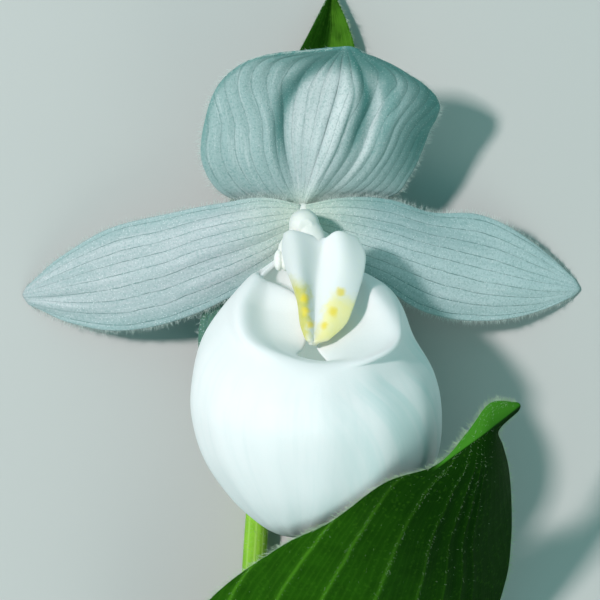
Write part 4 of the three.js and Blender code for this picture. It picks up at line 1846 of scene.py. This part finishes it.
@dataclass
class Staminode(Blade):
    """The shield: two rounded wings with a groove between them."""

    name: str = "staminode"
    slot: Slot = Slot.CREAM
    finish: Finish = ShieldFinish()
    rows: int = 90
    columns: int = 100
    thickness: float = 1.0
    rim: float = 0.35
    wave: float = 0.05

    def __post_init__(self) -> None:
        """Lays out the rails."""
        left_margin = [
            [-2.4, -2.7, 23.6],
            [-2.8, -4.7, 24.1],
            [-2.4, -7.1, 25.6],
            [-1.4, -9.5, 27.3],
            [-0.6, -11.9, 29.3],
            [-0.3, -14.8, 31.2],
            [0.5, -17.1, 32.8],
        ]
        left_wing = [
            [-1.3, -2.3, 24.6],
            [-0.9, -4.7, 26.2],
            [-0.6, -7.7, 28.0],
            [-0.1, -10.7, 29.8],
            [0.3, -13.3, 31.4],
            [0.6, -15.7, 32.6],
            [0.9, -17.6, 33.3],
        ]
        groove = [
            [2.8, -3.3, 23.8],
            [2.4, -5.4, 24.8],
            [2.0, -8.4, 26.8],
            [1.8, -11.4, 28.75],
            [1.6, -14.1, 30.65],
            [1.4, -16.3, 32.35],
            [1.3, -17.9, 33.2],
        ]
        right_wing = [
            [4.9, -2.4, 24.6],
            [5.2, -4.7, 26.2],
            [5.2, -7.7, 28.0],
            [4.6, -10.7, 29.8],
            [3.9, -13.3, 31.4],
            [3.0, -15.8, 32.6],
            [1.9, -17.7, 33.3],
        ]
        right_margin = [
            [7.5, -3.3, 23.6],
            [8.5, -5.5, 24.8],
            [8.3, -8.0, 26.6],
            [7.6, -10.5, 28.5],
            [6.8, -12.9, 30.7],
            [5.7, -15.2, 31.7],
            [3.4, -17.3, 32.8],
        ]
        self.rails = [right_margin, right_wing, groove, left_wing, left_margin]

    def relief(self, s: np.ndarray, v: np.ndarray) -> np.ndarray:
        """A soft unevenness.

        Args:
            s: places along it.
            v: places across it.

        Returns:
            Heights in millimetres.
        """
        return self.wave * ripples(s, v, self.seed, 5, 2.0)

    def hairs(self) -> None:
        """The shield has no hairs."""
        return None


def ball(place: Row, radii: Row, rings: int = 20, sides: int = 28) -> Shape:
    """A ball stretched to three radii.

    Args:
        place: its middle.
        radii: its radii.
        rings: how many rings it has.
        sides: how many points a ring has.

    Returns:
        The ball.
    """
    polar = np.linspace(0.001, math.pi - 0.001, rings + 1)[:, None]
    angle = 2 * math.pi * np.arange(sides)[None, :] / sides
    x, y = np.sin(polar) * np.cos(angle), np.sin(polar) * np.sin(angle)
    z = -np.cos(polar) + 0 * angle
    return tube_shape(np.array(place) + np.stack([x, y, z], -1) * np.array(radii))


def melted(shapes: list[Shape], name: str, voxel: float, smoothing: int) -> bpy.types.Object:
    """Grows overlapping shapes together into one soft skin.

    Args:
        shapes: the shapes.
        name: the name of the piece.
        voxel: the size of the grid that they are read on, in millimetres.
        smoothing: how many times the skin is smoothed.

    Returns:
        The piece.
    """
    whole = shapes[0]
    for shape in shapes[1:]:
        whole = whole.joined(shape)
    rough = whole.as_object(name + "_rough", unit_size=1.0)
    remesh = rough.modifiers.new("grow", "REMESH")
    remesh.mode = "VOXEL"
    remesh.voxel_size = voxel
    soften = rough.modifiers.new("soften", "SMOOTH")
    soften.iterations = smoothing
    mesh = bpy.data.meshes.new_from_object(rough.evaluated_get(bpy.context.evaluated_depsgraph_get()))
    bpy.data.objects.remove(rough)
    mesh.transform(Matrix.Scale(MM, 4))
    mesh.name = name
    mesh.polygons.foreach_set("use_smooth", [True] * len(mesh.polygons))
    return shown(mesh)


def rod(path: list[Row], rings: int = 40, sides: int = 32) -> Shape:
    """A plain round rod along points x, y, z and radius.

    Args:
        path: the points.
        rings: how many rings it has.
        sides: how many points a ring has.

    Returns:
        The rod.
    """
    return tube_shape(tube_rings(path, rings, sides)[0])


@dataclass
class Anther(Organ):
    """An anther beside the column: two pollen sacs on a short pad."""

    slot: Slot = Slot.POLLEN
    finish: Finish = PlainFinish((0.95, 0.96, 0.92), (0.88, 0.90, 0.82), 0.7, 0.25, 0.05)
    side: int = 1
    middle: Point = (0.6, -6.3, 21.3)
    reach: float = 3.5

    def make(self) -> bpy.types.Object:
        """Grows the two sacs and their pad together."""
        x, y, z = self.middle
        x += self.side * self.reach
        sacs = [
            ball([x - 0.45, y, z + 0.1], [0.7, 1.5, 1.1]),
            ball([x + 0.45, y + 0.1, z + 0.1], [0.7, 1.6, 1.1]),
            ball([x, y + 0.1, z - 0.35], [0.9, 1.3, 0.9]),
        ]
        return melted(sacs, self.name + "_skin", 0.07, 3)


@dataclass
class Column(Organ):
    """The column, with a filament to each side and the stigma on a stalk under the shield."""

    name: str = "column"
    slot: Slot = Slot.CREAM
    finish: Finish = PlainFinish((0.86, 0.86, 0.825), (0.82, 0.83, 0.79), 0.45, 1.2, 0.02)
    voxel: float = 0.1
    anther: Anther = field(default_factory=Anther)

    def filament(self, side: int) -> Shape:
        """The stalk of an anther.

        Args:
            side: -1 for the left one, 1 for the right one.

        Returns:
            The stalk.
        """
        x = self.anther.middle[0]
        return rod(
            [
                [x + side * 0.3, -2.0, 19.8, 0.6],
                [x + side * 2.2, -2.9, 20.8, 0.65],
                [x + side * (self.anther.reach - 0.35), -4.2, 21.1, 0.75],
                [x + side * self.anther.reach, -5.4, 21.2, 0.7],
            ]
        )

    def make(self) -> bpy.types.Object:
        """Grows the trunk, neck, stigma and filaments together."""
        trunk = rod(
            [
                [0, -0.7, 15.4, 1.5],
                [0, -1.0, 18.2, 1.65],
                [0.1, -1.1, 19.8, 1.9],
                [0.15, -1.3, 21.4, 2.1],
                [0.25, -1.5, 22.9, 1.9],
                [0.35, -1.7, 23.9, 1.0],
            ]
        )
        neck = rod(
            [
                [0.3, -1.6, 21.4, 1.9],
                [0.9, -2.7, 22.3, 1.95],
                [1.5, -3.9, 22.9, 1.85],
                [1.9, -5.4, 23.7, 1.55],
                [2.0, -7.4, 25.1, 1.2],
                [1.9, -10.0, 26.9, 0.7],
            ]
        )
        shoulder = rod(
            [
                [-0.2, -1.5, 21.6, 1.7],
                [-0.35, -2.6, 21.9, 1.6],
                [-0.3, -3.9, 22.2, 1.3],
                [-0.1, -5.2, 22.4, 0.8],
            ]
        )
        seat = ball([0.0, 0.3, 15.2], [1.5, 1.5, 0.8])
        stalk = rod(
            [
                [0.1, -1.3, 19.4, 1.1],
                [0.5, -3.2, 19.4, 1.0],
                [0.7, -5.0, 19.2, 1.0],
            ]
        )
        stigma = ball([0.7, -5.6, 19.3], [1.7, 1.4, 1.9])
        parts = [trunk, neck, shoulder, seat, stalk, stigma, self.filament(-1), self.filament(1)]
        return melted(parts, self.name + "_skin", self.voxel, 6)


# ---- the studio ------------------------------------------------------------------------------------------


@dataclass
class Studio:
    """A pale floor, a small key light, a weak wide one, an even fill, and the camera above the flower."""

    camera_place: Point = (-0.42, -11.8, 470.0)
    lens: float = 194.4
    sensor: float = 36.0
    key_direction: Point = (-0.48, 0.18, 0.86)
    lamp_distance: float = 800.0
    key_size: float = 70.0
    key_power: float = 5.3
    key_colour: Colour = (1.0, 0.92, 0.93)
    side_direction: Point = (0.48, -0.66, 0.58)
    side_size: float = 600.0
    side_power: float = 1.15
    side_colour: Colour = (1.0, 0.97, 0.90)
    fill: float = 0.345
    fill_colour: Colour = (0.36, 1.0, 0.97)
    floor_size: float = 3000.0
    floor_level: float = -0.1
    floor_colour: Colour = (0.56, 0.56, 0.55)
    floor_second: Colour = (0.5, 0.5, 0.49)

    def camera(self) -> None:
        """Looks straight down."""
        data = bpy.data.cameras.new("camera")
        data.lens, data.sensor_width = self.lens, self.sensor
        data.clip_start, data.clip_end = 0.01, 10.0
        eye = bpy.data.objects.new("camera", data)
        eye.location = Vector(self.camera_place) * MM
        bpy.context.scene.collection.objects.link(eye)
        bpy.context.scene.camera = eye

    def lamp(self, name: str, direction: Point, size: float, power: float, colour: Colour) -> None:
        """Hangs a square lamp that shines at the flower.

        Args:
            name: its name.
            direction: which way it lies from the flower.
            size: the length of its side, in millimetres.
            power: its power, in watts.
            colour: its colour.
        """
        data = bpy.data.lights.new(name, "AREA")
        data.size, data.energy, data.color = size * MM, power, colour
        hung = bpy.data.objects.new(name, data)
        way = Vector(direction).normalized()
        hung.location = way * self.lamp_distance * MM
        hung.rotation_euler = way.to_track_quat("Z", "Y").to_euler()
        bpy.context.scene.collection.objects.link(hung)

    def lights(self) -> None:
        """Sets the key light, a weak one from the other side, and the fill."""
        self.lamp("key", self.key_direction, self.key_size, self.key_power, self.key_colour)
        self.lamp("side", self.side_direction, self.side_size, self.side_power, self.side_colour)
        world = bpy.data.worlds.new("fill")
        world.use_nodes = True
        world.node_tree.nodes["Background"].inputs[0].default_value = (*self.fill_colour, 1.0)
        world.node_tree.nodes["Background"].inputs[1].default_value = self.fill
        bpy.context.scene.world = world
        bpy.context.scene.view_settings.view_transform = "Standard"

    def floor(self) -> None:
        """Lays the floor just under the flower."""
        half = self.floor_size / 2
        flat = [[-half, -half], [half, -half], [half, half], [-half, half]]
        corners = np.array([[x, y, self.floor_level] for x, y in flat])
        corner_places = np.array([[[0.0, 0.0], [1.0, 0.0], [1.0, 1.0], [0.0, 1.0]]])
        obj = Shape(corners, [np.array([[0, 1, 2, 3]])], [corner_places]).as_object("floor")
        shader = Shader("floor")
        shade = shader.mix(shader.noise(40.0, 3.0) * 0.06, self.floor_colour, self.floor_second)
        shader.close(obj, {"Base Color": shade, "Roughness": 0.9, "Specular IOR Level": 0.2})


def main() -> None:
    """Sets up the studio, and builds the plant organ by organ."""
    logging.basicConfig(level=logging.INFO, format="%(message)s")
    studio = Studio()
    studio.camera()
    studio.lights()
    studio.floor()
    plant: list[Organ] = [
        Stem(),
        Leaf(),
        Bract(),
        Ovary(),
        DorsalSepal(),
        Synsepal(),
        LeftPetal(),
        RightPetal(),
        Slipper(),
        Column(),
        Anther(name="anther_left", side=-1),
        Anther(name="anther_right", side=1),
        Staminode(),
    ]
    for organ in plant:
        organ.build()


if __name__ == "__main__":
    main()
